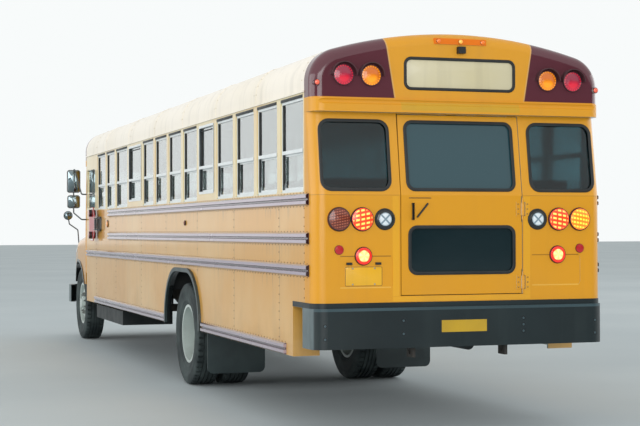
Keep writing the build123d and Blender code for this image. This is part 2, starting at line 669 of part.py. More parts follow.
with BuildPart() as glazing:
    for rear, front, sill, head in WINDOWS:
        edge = FRAME_RING + 2 * SEAT
        low = sill + FRAME_RING + SASH_RING + SEAT
        box(fore(rear + edge + SASH_RING), fore(front - edge - SASH_RING), LOWER_PANE_Y - GLASS / 2,
            LOWER_PANE_Y + GLASS / 2, low, MEETING_RAIL - RAIL_HALF - SASH_RING - SEAT)
        box(fore(rear + edge), fore(front - edge), UPPER_PANE_Y - GLASS / 2, UPPER_PANE_Y + GLASS / 2,
            MEETING_RAIL + RAIL_HALF + SEAT, head - edge)
    mirror(about=Plane.XZ)
    (rear, front, sill, head) = DRIVER_WINDOW
    with BuildSketch(side_plane(HALF - PANE_DEPTH)) as driver_pane:
        with Locations((fore((rear + front) / 2), (sill + head) / 2)):
            RectangleRounded(front - rear - 2 * SEAT, head - sill - 2 * SEAT, WINDOW_CORNER - SEAT)
    extrude(driver_pane.sketch, amount=GLASS)
    for pane in rear_panes + windscreen_panes:
        add(pane)
save("glazing", glazing)

# Emergency door in the rear wall: its upper half leans with the wall
DOOR_THICK = 42
DOOR_GAP = 6
HANDLE_Y = 417
HANDLE = (16, 1670, 1800)
HANDLE_PROUD = 26
with BuildPart() as emergency_door:
    top_shift = REAR_LEAN * (DOOR_HEAD - DOOR_GAP - BELT) / (REAR_LEAN_TOP - BELT)
    with BuildSketch(side_plane(DOOR_HALF - DOOR_GAP)) as profile:
        with BuildLine():
            Polyline((fore(0), DOOR_SILL + DOOR_GAP), (fore(0), BELT), (fore(top_shift), DOOR_HEAD - DOOR_GAP),
                     (fore(top_shift + DOOR_THICK), DOOR_HEAD - DOOR_GAP), (fore(DOOR_THICK), BELT),
                     (fore(DOOR_THICK), DOOR_SILL + DOOR_GAP), close=True)
        make_face()
    extrude(profile.sketch, amount=2 * (DOOR_HALF - DOOR_GAP))
    # the free edge follows the swing about the hinge
    with Locations((*EXIT_HINGE, (DOOR_SILL + DOOR_HEAD) / 2)):
        Cylinder(2 * DOOR_HALF - DOOR_GAP, DOOR_HEAD, mode=Mode.INTERSECT)
    for half, low, high in (DOOR_WINDOW, DOOR_LOWER_WINDOW):
        cut_window(-half, half, low, high, fore(-5), END_DEPTH)
    hinge_on_leaf(*EXIT_HINGE, EXIT_HINGE_HEIGHTS)
    hinge_plates(*EXIT_HINGE, EXIT_HINGE_HEIGHTS, 1)
    # pull handle: an upright bar on two feet
    (thick, low, high) = HANDLE
    y0 = HANDLE_Y - thick / 2
    y1 = HANDLE_Y + thick / 2
    box(fore(-HANDLE_PROUD), fore(thick - HANDLE_PROUD), y0, y1, low, high)
    for z in (low, high - thick):
        box(fore(thick - HANDLE_PROUD), fore(1), y0, y1, z, z + thick)
    add(upper_pane)
    add(lower_pane)
save("emergency_door", emergency_door)

# Entrance door: two glazed leaves that open outward
LEAF_THICK = 40
LEAF_MIDDLE = (ENTRANCE_REAR + ENTRANCE_FRONT) / 2
LEAF_STILE = 55
LEAF_PANES = ((ENTRANCE_SILL + 140, ENTRANCE_SILL + 880), (ENTRANCE_SILL + 960, ENTRANCE_HEAD - 90))
LEAF_PANE_DEPTH = 17


def leaf(hinge, free):
    """One leaf, between its hinge edge and its free edge along the bus."""
    (low, high) = sorted((hinge, free))
    y0 = -HALF
    box(fore(low + DOOR_GAP), fore(high - DOOR_GAP / 2), y0, y0 + LEAF_THICK, ENTRANCE_SILL + DOOR_GAP,
        ENTRANCE_HEAD - DOOR_GAP)
    for z0, z1 in LEAF_PANES:
        middle = ((fore(low) + fore(high)) / 2, (z0 + z1) / 2)
        wide = high - low - 2 * LEAF_STILE
        with BuildSketch(side_plane(y0 + LEAF_THICK)) as opening:
            with Locations(middle):
                RectangleRounded(wide, z1 - z0, WINDOW_CORNER)
        extrude(opening.sketch, amount=LEAF_THICK, mode=Mode.SUBTRACT)
        with BuildSketch(side_plane(y0 + LEAF_PANE_DEPTH + GLASS)) as pane:
            with Locations(middle):
                RectangleRounded(wide - 2 * SEAT, z1 - z0 - 2 * SEAT, WINDOW_CORNER - SEAT)
        extrude(pane.sketch, amount=GLASS)
    hinge_on_leaf(fore(hinge), y0, ENTRANCE_HINGE_HEIGHTS)


for name, hinge in (("entrance_rear_leaf", ENTRANCE_REAR), ("entrance_front_leaf", ENTRANCE_FRONT)):
    with BuildPart() as door_leaf:
        leaf(hinge, LEAF_MIDDLE)
    save(name, door_leaf)

# Rub rails: two ribs each; height of the middle, rear and front end
RAIL_DEPTH = 25
RAIL_HEIGHT = 90
RAIL_START = END_CORNER
DOORWAY_END = ENTRANCE_REAR - 60
ARCH_REAR_END = ARCH_MIDDLE - ARCH_HALF - FLARE_WIDTH - 60
ARCH_FRONT_END = ARCH_MIDDLE + ARCH_HALF + FLARE_WIDTH + 10
WINDOW_RAIL = BELT - 32
CUSHION_RAIL = BELT - 330
FLOOR_RAIL = FLOOR_TOP + 215
SKIRT_RAIL = SKIRT + 48
RAILS_LEFT = (
    (WINDOW_RAIL, RAIL_START, ENTRANCE_REAR - 1030), (CUSHION_RAIL, RAIL_START, ENTRANCE_REAR - 1030),
    (FLOOR_RAIL, RAIL_START, ENTRANCE_REAR + 700), (SKIRT_RAIL, REAR_SKIRT_END + 180, ARCH_REAR_END),
    (SKIRT_RAIL, ARCH_FRONT_END, ENTRANCE_REAR + 20),
)
RAILS_RIGHT = (
    (WINDOW_RAIL, RAIL_START, DOORWAY_END), (CUSHION_RAIL, RAIL_START, DOORWAY_END),
    (FLOOR_RAIL, RAIL_START, DOORWAY_END), (SKIRT_RAIL, REAR_SKIRT_END + 180, ARCH_REAR_END),
    (SKIRT_RAIL, ARCH_FRONT_END, DOORWAY_END),
)


def rail_section(z, side):
    half = RAIL_HEIGHT / 2
    points = [(0, -half), (8, -half), (RAIL_DEPTH, -half + 10), (RAIL_DEPTH, -12), (10, -4), (10, 4),
              (RAIL_DEPTH, 12), (RAIL_DEPTH, half - 10), (8, half), (0, half)]
    with BuildLine() as outline:
        Polyline([(side * (HALF + out), z + up) for out, up in points], close=True)
    make_face(outline.edges())


with BuildPart() as rub_rails:
    for side, rails in ((1, RAILS_LEFT), (-1, RAILS_RIGHT)):
        for z, rear, front in rails:
            with BuildSketch(cross_plane(fore(rear))) as section:
                rail_section(z, side)
            extrude(section.sketch, amount=front - rear)
save("rub_rails", rub_rails)

# Rear wheel arches: a raised rubber flare round each opening, and a flap behind the wheels
FLAP_INNER = 590
FLAP_THICK = 10
FLAP_FOOT = 195
FLAP_CORNER = 60
FLAP_REAR = ARCH_MIDDLE - ARCH_HALF - 120
with BuildPart() as mud_flaps:
    with BuildSketch(side_plane(HALF + FLARE_PROUD)) as flare:
        arch_shape(FLARE_WIDTH)
        with Locations((fore(ARCH_MIDDLE), SKIRT - ARCH_TOP / 2)):
            Rectangle(4 * ARCH_HALF, ARCH_TOP, mode=Mode.SUBTRACT)
    extrude(flare.sketch, amount=FLARE_PROUD)
    with BuildSketch(side_plane(HALF + FLARE_PROUD + 1)) as opening:
        arch_shape(0)
    extrude(opening.sketch, amount=FLARE_PROUD + 2, mode=Mode.SUBTRACT)
    with BuildSketch(cross_plane(fore(FLAP_REAR))) as flap:
        with Locations(((FLAP_INNER + FLOOR_HALF) / 2, (FLAP_FOOT + FLOOR_UNDER) / 2)):
            Rectangle(FLOOR_HALF - FLAP_INNER, FLOOR_UNDER - FLAP_FOOT)
        fillet(vertices().group_by(Axis.Y)[0], FLAP_CORNER)
    extrude(flap.sketch, amount=FLAP_THICK)
    mirror(about=Plane.XZ)
save("mud_flaps", mud_flaps)

# Chassis frame: two channel rails and tubular cross members
CROSS_RADIUS = 45
HINGE_LUG_Y = 300
LUG = (60, 20, 18, 16)
LUG_PAIR = 32
LUG_PIN = 10
TOW_EYES = ((110, FRAME_UNDER - 55), (NOSE - 150, FRAME_UNDER - 255))
TOW_PLATE = 25
TOW_HALF = 60
TOW_EDGE = 45
TOW_HOLE = 22
BUMPER_STEEL = 10
with BuildPart() as chassis_frame:
    with BuildSketch(cross_plane(fore(FRAME_REAR))) as channel:
        inner = FRAME_HALF - FRAME_FLANGE
        web = FRAME_HALF - FRAME_WEB
        with BuildLine():
            Polyline((FRAME_HALF, FRAME_UNDER), (inner, FRAME_UNDER), (inner, FRAME_UNDER + FRAME_WEB),
                     (web, FRAME_UNDER + FRAME_WEB), (web, FRAME_TOP - FRAME_WEB),
                     (inner, FRAME_TOP - FRAME_WEB), (inner, FRAME_TOP), (FRAME_HALF, FRAME_TOP), close=True)
        make_face()
    extrude(channel.sketch, amount=FRAME_FRONT - FRAME_REAR)
    # horns carry the front bumper
    box(fore(FRAME_FRONT), fore(NOSE - BUMPER_STEEL), inner, FRAME_HALF, FRAME_UNDER, HORN_TOP)
    for ear in (-LUG_PAIR, LUG_PAIR):
        (behind, neck, ahead, thick) = LUG
        y0 = HINGE_LUG_Y + ear - thick / 2
        y1 = HINGE_LUG_Y + ear + thick / 2
        box(fore(HOOD_HINGE - behind), fore(HOOD_HINGE - neck), y0, y1, HORN_TOP, HOOD_HINGE_Z + ahead)
        box(fore(HOOD_HINGE - neck), fore(HOOD_HINGE + ahead), y0, y1, HOOD_HINGE_Z - neck,
            HOOD_HINGE_Z + ahead)
    drum(fore(HOOD_HINGE), HINGE_LUG_Y, HOOD_HINGE_Z, LUG_PIN, 2 * LUG_PAIR)
    for centre, height in TOW_EYES:
        y = FRAME_HALF - FRAME_FLANGE / 2
        box(fore(centre - TOW_HALF), fore(centre + TOW_HALF), y - TOW_PLATE / 2, y + TOW_PLATE / 2,
            height - TOW_EDGE, FRAME_UNDER)
        drum(fore(centre), y, height, TOW_HOLE, 2 * TOW_PLATE, Mode.SUBTRACT)
    mirror(about=Plane.XZ)
    for distance in CROSS_MEMBERS:
        drum(fore(distance), 0, FRAME_TOP - FRAME_DEPTH / 2, CROSS_RADIUS, 2 * (FRAME_HALF - FRAME_WEB))
    # plate between the horns, under the lugs
    box(fore(HOOD_HINGE - behind), fore(HOOD_HINGE + neck), -FRAME_HALF + FRAME_WEB, FRAME_HALF - FRAME_WEB,
        HORN_TOP - 40, HORN_TOP)
save("chassis_frame", chassis_frame)

# Bumpers: channels that wrap the corners, the rear one under a thin strip along the body's foot
REAR_BUMPER = (-BUMPER_PROUD, END_DEPTH + 40, FRAME_UNDER - 18, FLOOR_UNDER)
FRONT_BUMPER = (NOSE, NOSE - 320, SKIRT - 85, FRAME_UNDER + 70)
BUMPER_FLANGE = 75
REAR_BUMPER_PROUD = 6
STRIP = (5, 3, 12)


def band(face, end, half, corner, steps):
    """Blocks that wrap both corners, each drawn in by its inset: solid or cut out, between two heights."""
    outward = -1 if end > face else 1
    for inset, z0, z1, mode in steps:
        open_end = end - outward if mode == Mode.SUBTRACT else end
        near = face - outward * inset
        with BuildSketch(Plane.XY.offset(z0)) as plan:
            with Locations((fore((near + open_end) / 2), 0)):
                Rectangle(abs(near - open_end), 2 * (half - inset))
            corners = vertices().sort_by(Axis.X)
            fillet(corners[-2:] if outward > 0 else corners[:2], corner - inset)
        extrude(plan.sketch, amount=z1 - z0, mode=mode)


def bumper(face, end, low, high, half, corner):
    """Channel bent round both corners, open towards the bus."""
    steel = BUMPER_STEEL
    band(face, end, half, corner, ((0, low, high, Mode.ADD), (steel, low + steel, high - steel, Mode.SUBTRACT),
                                   (BUMPER_FLANGE, low - 1, high + 1, Mode.SUBTRACT)))


with BuildPart() as body_strip:
    (face, proud, thick) = STRIP
    band(-face, REAR_SKIRT_END - SEAT, HALF + proud, END_CORNER + proud,
         ((0, FLOOR_UNDER - 1, REAR_SKIRT - SEAT, Mode.ADD),
          (thick, FLOOR_UNDER - 2, REAR_SKIRT, Mode.SUBTRACT)))
with BuildPart() as rear_bumper:
    bumper(*REAR_BUMPER, HALF + REAR_BUMPER_PROUD, END_CORNER + 10)
    add(body_strip.part)
save("rear_bumper", rear_bumper)
with BuildPart() as front_bumper:
    bumper(*FRONT_BUMPER, HALF, END_CORNER + 60)
save("front_bumper", front_bumper)


# Wheels
def wheel_plane(distance, y, side):
    """Plane through a wheel's axis: its own x points out of the bus along the axle."""
    return Plane(origin=(fore(distance), y, TYRE_RADIUS), x_dir=(0, side, 0), z_dir=(1, 0, 0))


def axle_line(distance):
    return Axis((fore(distance), 0, TYRE_RADIUS), (0, 1, 0))


BEAD_INSET = 39
SIDEWALL_RADIUS = 410
SHOULDER = 22
SHOULDER_DROP = 14
CARCASS = 40


def tyre(distance, y, side):
    """Hollow tyre: bulging sidewalls, nearly flat tread, open between the beads."""
    half = TYRE_WIDTH / 2
    bead = BEAD_RADIUS + SEAT
    foot = half - BEAD_INSET - SEAT
    shoulder = (half - SHOULDER, TYRE_RADIUS - SHOULDER_DROP)
    liner = (half - CARCASS, TYRE_RADIUS - CARCASS)
    with BuildSketch(wheel_plane(distance, y, side)) as section:
        with BuildLine():
            Polyline((-foot, RIM_EDGE + 1), (-foot, bead), (foot, bead), (foot, RIM_EDGE + 1))
            ThreePointArc((foot, RIM_EDGE + 1), (half, SIDEWALL_RADIUS), shoulder)
            ThreePointArc(shoulder, (0, TYRE_RADIUS), (-shoulder[0], shoulder[1]))
            ThreePointArc((-shoulder[0], shoulder[1]), (-half, SIDEWALL_RADIUS), (-foot, RIM_EDGE + 1))
        make_face()
        with BuildLine():
            mouth = (foot - SHOULDER, bead - 1)
            ThreePointArc(mouth, (half - SHOULDER, SIDEWALL_RADIUS), liner)
            Line(liner, (-liner[0], liner[1]))
            ThreePointArc((-liner[0], liner[1]), (SHOULDER - half, SIDEWALL_RADIUS), (-mouth[0], mouth[1]))
            Line((-mouth[0], mouth[1]), mouth)
        make_face(mode=Mode.SUBTRACT)
    revolve(section.sketch, axis=axle_line(distance))


RIM_STEEL = 12
DISC_CONE = 70
DISC_FLAT = 200
DISC_BORE = 110
HAND_HOLES = (5, 236, 27)


def rim(distance, y, side, disc):
    """Rim well, and a dished disc at a set offset, towards the outside when it is positive."""
    half = TYRE_WIDTH / 2
    toward = 1 if disc > 0 else -1
    edge = half - BEAD_INSET
    well = BEAD_RADIUS - RIM_STEEL
    with BuildSketch(wheel_plane(distance, y, side)) as section:
        with BuildLine():
            Polyline((-edge - 9, RIM_EDGE), (-edge, RIM_EDGE), (-edge, BEAD_RADIUS), (edge, BEAD_RADIUS),
                     (edge, RIM_EDGE), (edge + 9, RIM_EDGE), (edge + 9, well), (-edge - 9, well), close=True)
        make_face()
        with BuildLine():
            Polyline((disc - toward * DISC_CONE, well + 1), (disc, DISC_FLAT), (disc, DISC_BORE),
                     (disc + RIM_STEEL, DISC_BORE), (disc + RIM_STEEL, DISC_FLAT),
                     (disc + RIM_STEEL - toward * DISC_CONE, well + 1), close=True)
        make_face()
    revolve(section.sketch, axis=axle_line(distance))
    (count, radius, size) = HAND_HOLES
    for number in range(count):
        angle = radians(90 + number * 360 / count)
        drum(fore(distance) + radius * cos(angle), y + side * disc, TYRE_RADIUS + radius * sin(angle), size,
             2 * DISC_CONE, Mode.SUBTRACT)


def hub(distance, side, steps):
    """Brake drum, hub and cap as turned steps: inner y, outer y, bore, radius."""
    with BuildSketch(wheel_plane(distance, 0, side)) as section:
        for inner, outer, bore, radius in steps:
            with Locations(((inner + outer) / 2, (bore + radius) / 2)):
                Rectangle(outer - inner, radius - bore)
    revolve(section.sketch, axis=axle_line(distance))


SPINDLE_END = 110
DRIVE_END = 10
DRUM = 190
BORE = HUB_BORE + PIN_FIT
FRONT_DISC = 70
OUTER_DISC = -150
INNER_DISC = DUAL_OUTER - DUAL_INNER + OUTER_DISC - RIM_STEEL
DISC_FACE = DUAL_OUTER + OUTER_DISC
FRONT_HUB = (
    (FRONT_TRACK - 60, FRONT_TRACK + 40, BORE, DRUM),
    (FRONT_TRACK + 40, FRONT_TRACK + FRONT_DISC + RIM_STEEL, BORE, 125),
    (FRONT_TRACK + FRONT_DISC + RIM_STEEL, FRONT_TRACK + SPINDLE_END + RUNNING, BORE, 92),
    (FRONT_TRACK + SPINDLE_END + RUNNING, FRONT_TRACK + SPINDLE_END + 30, 0, 70),
)
REAR_HUB = (
    (DUAL_INNER - 40, DISC_FACE - 30, BORE, DRUM),
    (DISC_FACE - 30, DISC_FACE + 20, BORE, 125),
    (DISC_FACE + 20, DUAL_OUTER - 30, BORE, 100),
    (DUAL_OUTER - 30, DUAL_OUTER + DRIVE_END + RUNNING, BORE, 80),
    (DUAL_OUTER + DRIVE_END + RUNNING, DUAL_OUTER + DRIVE_END + 22, 0, 80),
)
for side, word in ((1, "left"), (-1, "right")):
    with BuildPart() as front_tyre:
        tyre(FRONT_AXLE, side * FRONT_TRACK, side)
    save("front_" + word + "_tyre", front_tyre)
    with BuildPart() as front_rim:
        rim(FRONT_AXLE, side * FRONT_TRACK, side, FRONT_DISC)
        hub(FRONT_AXLE, side, FRONT_HUB)
    save("front_" + word + "_rim", front_rim)
    with BuildPart() as rear_tyres:
        for y in (DUAL_OUTER, DUAL_INNER):
            tyre(REAR_AXLE, side * y, side)
    save("rear_" + word + "_tyres", rear_tyres)
    with BuildPart() as rear_rims:
        rim(REAR_AXLE, side * DUAL_OUTER, side, OUTER_DISC)
        rim(REAR_AXLE, side * DUAL_INNER, side, INNER_DISC)
        hub(REAR_AXLE, side, REAR_HUB)
    save("rear_" + word + "_rims", rear_rims)

# Engine: one plain block on four arms that reach into the frame rails
ENGINE = (FRONT_AXLE - 660, FRONT_AXLE + 470, 300, FRAME_UNDER - 70, FRONT_SILL - 300)
ENGINE_ARMS = (FRONT_AXLE - 430, FRONT_AXLE + 220)
ARM_HALF = 40
with BuildPart() as engine:
    (rear, front, half, low, high) = ENGINE
    box(fore(rear), fore(front), -half, half, low, high)
    fillet(edges().filter_by(Axis.X), ARM_HALF)
    for distance in ENGINE_ARMS:
        box(fore(distance - ARM_HALF), fore(distance + ARM_HALF), -FRAME_HALF + FRAME_WEB,
            FRAME_HALF - FRAME_WEB, FRAME_UNDER + 90, FRAME_UNDER + 130)
save("engine", engine)

# Rear axle: banjo housing and spindles, with the propeller shaft up to the engine
HOUSING = 62
BANJO = (175, 195)
SHAFT_RADIUS = 45
SHAFT_GAP = 2
with BuildPart() as rear_axle:
    with BuildSketch(wheel_plane(REAR_AXLE, 0, 1)) as section:
        (half, bulge) = BANJO
        tube_end = DUAL_INNER - 50
        spindle_end = DUAL_OUTER + DRIVE_END
        with BuildLine():
            Polyline((-half, HOUSING), (-tube_end, HOUSING), (-tube_end, HUB_BORE), (-spindle_end, HUB_BORE),
                     (-spindle_end, 0), (spindle_end, 0), (spindle_end, HUB_BORE), (tube_end, HUB_BORE),
                     (tube_end, HOUSING), (half, HOUSING))
            ThreePointArc((half, HOUSING), (0, bulge), (-half, HOUSING))
        make_face()
    revolve(section.sketch, axis=axle_line(REAR_AXLE))
    rod((fore(REAR_AXLE + bulge - 20), 0, TYRE_RADIUS), (fore(ENGINE[0] - SHAFT_GAP), 0, FRAME_UNDER),
        SHAFT_RADIUS)
save("rear_axle", rear_axle)

# Front axle: a dropped beam with an upright boss for each kingpin
KINGPIN = 22
BOSS_HALF = 50
BEAM_DROP = 90
BEAM_WIDTH = 110
BEAM_FLAT = 620
STEER_EAR = 45
BEAM_TOP = TYRE_RADIUS - BEAM_DROP + 50
BEAM_UNDER = BEAM_TOP - 110
with BuildPart() as front_axle:
    x0 = fore(FRONT_AXLE)
    boss_top = TYRE_RADIUS + BOSS_HALF
    boss_under = TYRE_RADIUS - BOSS_HALF
    neck = KINGPIN_Y - STEER_EAR - 25
    with BuildSketch(cross_plane(x0 - BEAM_WIDTH / 2)) as beam:
        with BuildLine():
            Polyline((-KINGPIN_Y, boss_top), (-KINGPIN_Y, boss_under), (-neck, boss_under),
                     (-BEAM_FLAT, BEAM_UNDER), (BEAM_FLAT, BEAM_UNDER), (neck, boss_under),
                     (KINGPIN_Y, boss_under), (KINGPIN_Y, boss_top), (BEAM_FLAT, BEAM_TOP),
                     (-BEAM_FLAT, BEAM_TOP), close=True)
        make_face()
    extrude(beam.sketch, amount=BEAM_WIDTH)
    for side in (1, -1):
        with Locations((x0, side * KINGPIN_Y, TYRE_RADIUS)):
            Cylinder(STEER_EAR + 10, 2 * BOSS_HALF)
            Cylinder(KINGPIN + PIN_FIT, 4 * BOSS_HALF, mode=Mode.SUBTRACT)
save("front_axle", front_axle)

EAR_THICK = 40
EAR_GAP = 0.5
KNUCKLE_PLATE = (16, 24, 60)


def knuckle(side):
    """Two ears and a kingpin through the axle's boss, with the wheel's spindle outside."""
    (clear, thick, half) = KNUCKLE_PLATE
    x0 = fore(FRONT_AXLE)
    y0 = side * KINGPIN_Y
    inner = KINGPIN_Y + STEER_EAR + clear
    outer = inner + thick
    reach = FRONT_TRACK + SPINDLE_END
    rise = BOSS_HALF + EAR_GAP + EAR_THICK / 2
    for z in (TYRE_RADIUS - rise, TYRE_RADIUS + rise):
        with Locations((x0, y0, z)):
            Cylinder(STEER_EAR, EAR_THICK)
        box(x0 - 34, x0 + 34, y0 - side * 10, side * outer, z - EAR_THICK / 2, z + EAR_THICK / 2)
    with Locations((x0, y0, TYRE_RADIUS)):
        Cylinder(KINGPIN, 2 * rise)
    box(x0 - half, x0 + half, side * inner, side * outer, TYRE_RADIUS - rise - EAR_THICK / 2,
        TYRE_RADIUS + rise + EAR_THICK / 2)
    drum(x0, side * (inner + reach) / 2, TYRE_RADIUS, HUB_BORE, reach - inner)


for side, word in ((1, "left"), (-1, "right")):
    with BuildPart() as steering_knuckle:
        knuckle(side)
    save(word + "_knuckle", steering_knuckle)

# Leaf springs: packs that arch down from the frame to each axle; centre, length, seat height and Y
SPRING_WIDTH = 76
SPRING_THICK = 48
SPRING_END = 14
SPRING_DROP = 40
HANGER_HALF = 30
SPRINGS = (
    (FRONT_AXLE, 1300, BEAM_TOP, FRAME_HALF - 45),
    (REAR_AXLE, 1500, TYRE_RADIUS + HOUSING, FRAME_HALF + 70),
)
with BuildPart() as leaf_springs:
    for distance, length, seat, y in SPRINGS:
        x0 = fore(distance)
        eye_z = FRAME_UNDER - SPRING_DROP
        rear = x0 - length / 2
        front = x0 + length / 2
        with BuildSketch(side_plane(y + SPRING_WIDTH / 2)) as pack:
            with BuildLine():
                ThreePointArc((rear, eye_z), (x0, seat + SEAT), (front, eye_z))
                Line((front, eye_z), (front, eye_z + SPRING_END))
                ThreePointArc((front, eye_z + SPRING_END), (x0, seat + SPRING_THICK),
                              (rear, eye_z + SPRING_END))
                Line((rear, eye_z + SPRING_END), (rear, eye_z))
            make_face()
        extrude(pack.sketch, amount=SPRING_WIDTH)
        # hangers: under the rail in front, on the rail's outer face behind
        under_rail = y < FRAME_HALF
        near = y - SPRING_WIDTH / 2 if under_rail else FRAME_HALF
        hanger_top = FRAME_UNDER if under_rail else FRAME_UNDER + 60
        for eye_x in (rear, front):
            box(eye_x - HANGER_HALF, eye_x + HANGER_HALF, near, y + SPRING_WIDTH / 2, eye_z - 15, hanger_top)
    mirror(about=Plane.XZ)
save("leaf_springs", leaf_springs)

# Bonnet with its wings: tilts forward in one piece about lugs at the nose
HOOD_REAR = FRONT_FACE + 10
HOOD_SKIN = 35
WING_RISE = 20
CROWN_DROP = 45
HOOD_LEAN = 40
FRONT_ARCH = TYRE_RADIUS + 95
LIP_WIDTH = 30
LIP_PROUD = 12
HOOD_ROWS = (
    # distance, wing half width, wing top, bonnet half width, bonnet top, wing corner radius
    (HOOD_REAR, 1200, 1560, 800, 1700, 120),
    (FRONT_AXLE + 70, 1195, 1480, 740, 1660, 120),
    (HOOD_NOSE - 60, 1120, 1370, 620, 1530, 130),
    (HOOD_NOSE, 1070, 1310, 590, 1480, 130),
)
HOOD_CONCAVE = 40
HOOD_SHOULDER = 90


def hood_section(row, inset, foot):
    """Outline across the bonnet: wing side, wing top, bonnet side and crown, with rounded corners."""
    (distance, wing_y, wing_z, bonnet_y, top_z, wing_radius) = row
    wing = (wing_y - inset, wing_z - inset)
    inside = (bonnet_y + HOOD_LEAN - inset, wing_z + WING_RISE - inset)
    shoulder = (bonnet_y - HOOD_LEAN - inset, top_z - CROWN_DROP - inset)
    points = [(wing[0], foot), wing, inside, shoulder]
    left = [(-y, z) for y, z in reversed(points)]
    with BuildLine() as outline:
        Polyline(points)
        ThreePointArc(shoulder, (0, top_z - inset), left[0])
        Polyline(left)
        Line(left[-1], points[0])
    make_face(outline.edges())
    for corner, radius in ((wing, wing_radius - inset), (inside, HOOD_CONCAVE + inset),
                           (shoulder, HOOD_SHOULDER - inset)):
        pair = [vertex for vertex in vertices()
                if abs(abs(vertex.X) - corner[0]) < 1 and abs(vertex.Y - corner[1]) < 1]
        fillet(pair, radius)


def hood_block(rows, inset, foot, mode):
    sections = []
    for row in rows:
        with BuildSketch(cross_plane(fore(row[0]))) as section:
            hood_section(row, inset, foot)
        sections.append(section.sketch)
    loft(sections, ruled=True, mode=mode)


def front_arch(radius, mode):
    drum(fore(FRONT_AXLE), 0, TYRE_RADIUS, radius, BODY_WIDTH + 4 * LIP_PROUD, mode)


# the raised lip follows the wing's face in a ring round the wheel opening
with BuildPart() as arch_lips:
    hood_block(HOOD_ROWS, -LIP_PROUD, HOOD_FOOT, Mode.ADD)
    front_arch(FRONT_ARCH + LIP_WIDTH, Mode.INTERSECT)
    front_arch(FRONT_ARCH, Mode.SUBTRACT)
    box(fore(FRONT_FACE), fore(NOSE), LIP_WIDTH - HALF + 150, HALF - 150 - LIP_WIDTH, HOOD_FOOT - 1, BELT,
        Mode.SUBTRACT)

GRILLE = (430, 900, 1330, 60)
HEADLAMP = (870, 1010, 250, 190, 30)
HOOD_ARM = 20
SPOTTER = ((FRONT_AXLE + 620, 1258, 1834), 68, 34)
SPOTTER_ARM = 9
SPOTTER_BEND = 30
with BuildPart() as hood:
    hood_block(HOOD_ROWS, 0, HOOD_FOOT, Mode.ADD)
    (last, upper, lower, nose) = HOOD_ROWS
    inner_rows = ((last[0] - 1,) + last[1:], upper, (lower[0] - HOOD_SKIN / 2,) + lower[1:],
                  (nose[0] - HOOD_SKIN,) + nose[1:])
    hood_block(inner_rows, HOOD_SKIN, HOOD_FOOT - 1, Mode.SUBTRACT)
    front_arch(FRONT_ARCH, Mode.SUBTRACT)
    add(arch_lips.part)
    nose_cuts = [(0, (GRILLE[1] + GRILLE[2]) / 2, 2 * GRILLE[0], GRILLE[2] - GRILLE[1], GRILLE[3])]
    nose_cuts += [(side * HEADLAMP[0],) + HEADLAMP[1:] for side in (1, -1)]
    for y, z, wide, tall, corner in nose_cuts:
        with BuildSketch(cross_plane(fore(HOOD_NOSE - 2 * HOOD_SKIN))) as opening:
            with Locations((y, z)):
                RectangleRounded(wide, tall, corner)
        extrude(opening.sketch, amount=2 * HOOD_SKIN + 1, mode=Mode.SUBTRACT)
    for side in (1, -1):
        # hinge arms down to the lugs of the frame
        y = side * HINGE_LUG_Y
        box(fore(HOOD_HINGE - HOOD_ARM), fore(HOOD_NOSE - HOOD_SKIN + 1), y - HOOD_ARM, y + HOOD_ARM,
            HOOD_HINGE_Z - HOOD_ARM + 2, HOOD_HINGE_Z + HOOD_ARM - 2)
        drum(fore(HOOD_HINGE), y, HOOD_HINGE_Z, HOOD_ARM, 2 * HOOD_ARM)
        drum(fore(HOOD_HINGE), y, HOOD_HINGE_Z, LUG_PIN + PIN_FIT, 3 * HOOD_ARM, Mode.SUBTRACT)
        # crossing mirror: a round head on a bent arm that stands on the wing
        ((distance, y, z), radius, thick) = SPOTTER
        x0 = fore(distance)
        foot_z = HOOD_ROWS[2][2]
        bent_tube([(x0, side * (y - 170), foot_z - 5), (x0, side * (y - 150), z - 220),
                   (x0, side * (y - 20), z - 130), (x0, side * y, z)], SPOTTER_ARM, SPOTTER_BEND)
        with Locations(Location((x0, side * y, z), (0, 90, 0))):
            Cylinder(radius, thick)
save("hood", hood)

# Grille: a frame with leaning slats that fills the opening in the nose
SLAT_PITCH = 52
SLAT = (8, 26, 14)
with BuildPart() as grille:
    (half, low, high, corner) = GRILLE
    x0 = fore(HOOD_NOSE - HOOD_SKIN)
    tall = high - low - 2 * SEAT
    wide = 2 * half - 2 * SEAT
    with BuildSketch(cross_plane(x0)) as ring:
        with Locations((0, (low + high) / 2)):
            RectangleRounded(wide, tall, corner - SEAT)
            RectangleRounded(wide - corner, tall - corner, corner / 2, mode=Mode.SUBTRACT)
    extrude(ring.sketch, amount=HOOD_SKIN - SEAT)
    (thick, deep, lean) = SLAT
    count = int((tall - corner) / SLAT_PITCH)
    first = (low + high) / 2 - (count - 1) * SLAT_PITCH / 2
    for number in range(count):
        z = first + number * SLAT_PITCH
        with BuildSketch(side_plane(half - corner / 4)) as slat:
            with BuildLine():
                Polyline((x0, z - thick), (x0 + deep, z - thick - lean), (x0 + deep, z - lean), (x0, z),
                         close=True)
            make_face()
        extrude(slat.sketch, amount=2 * half - corner / 2)
save("grille", grille)

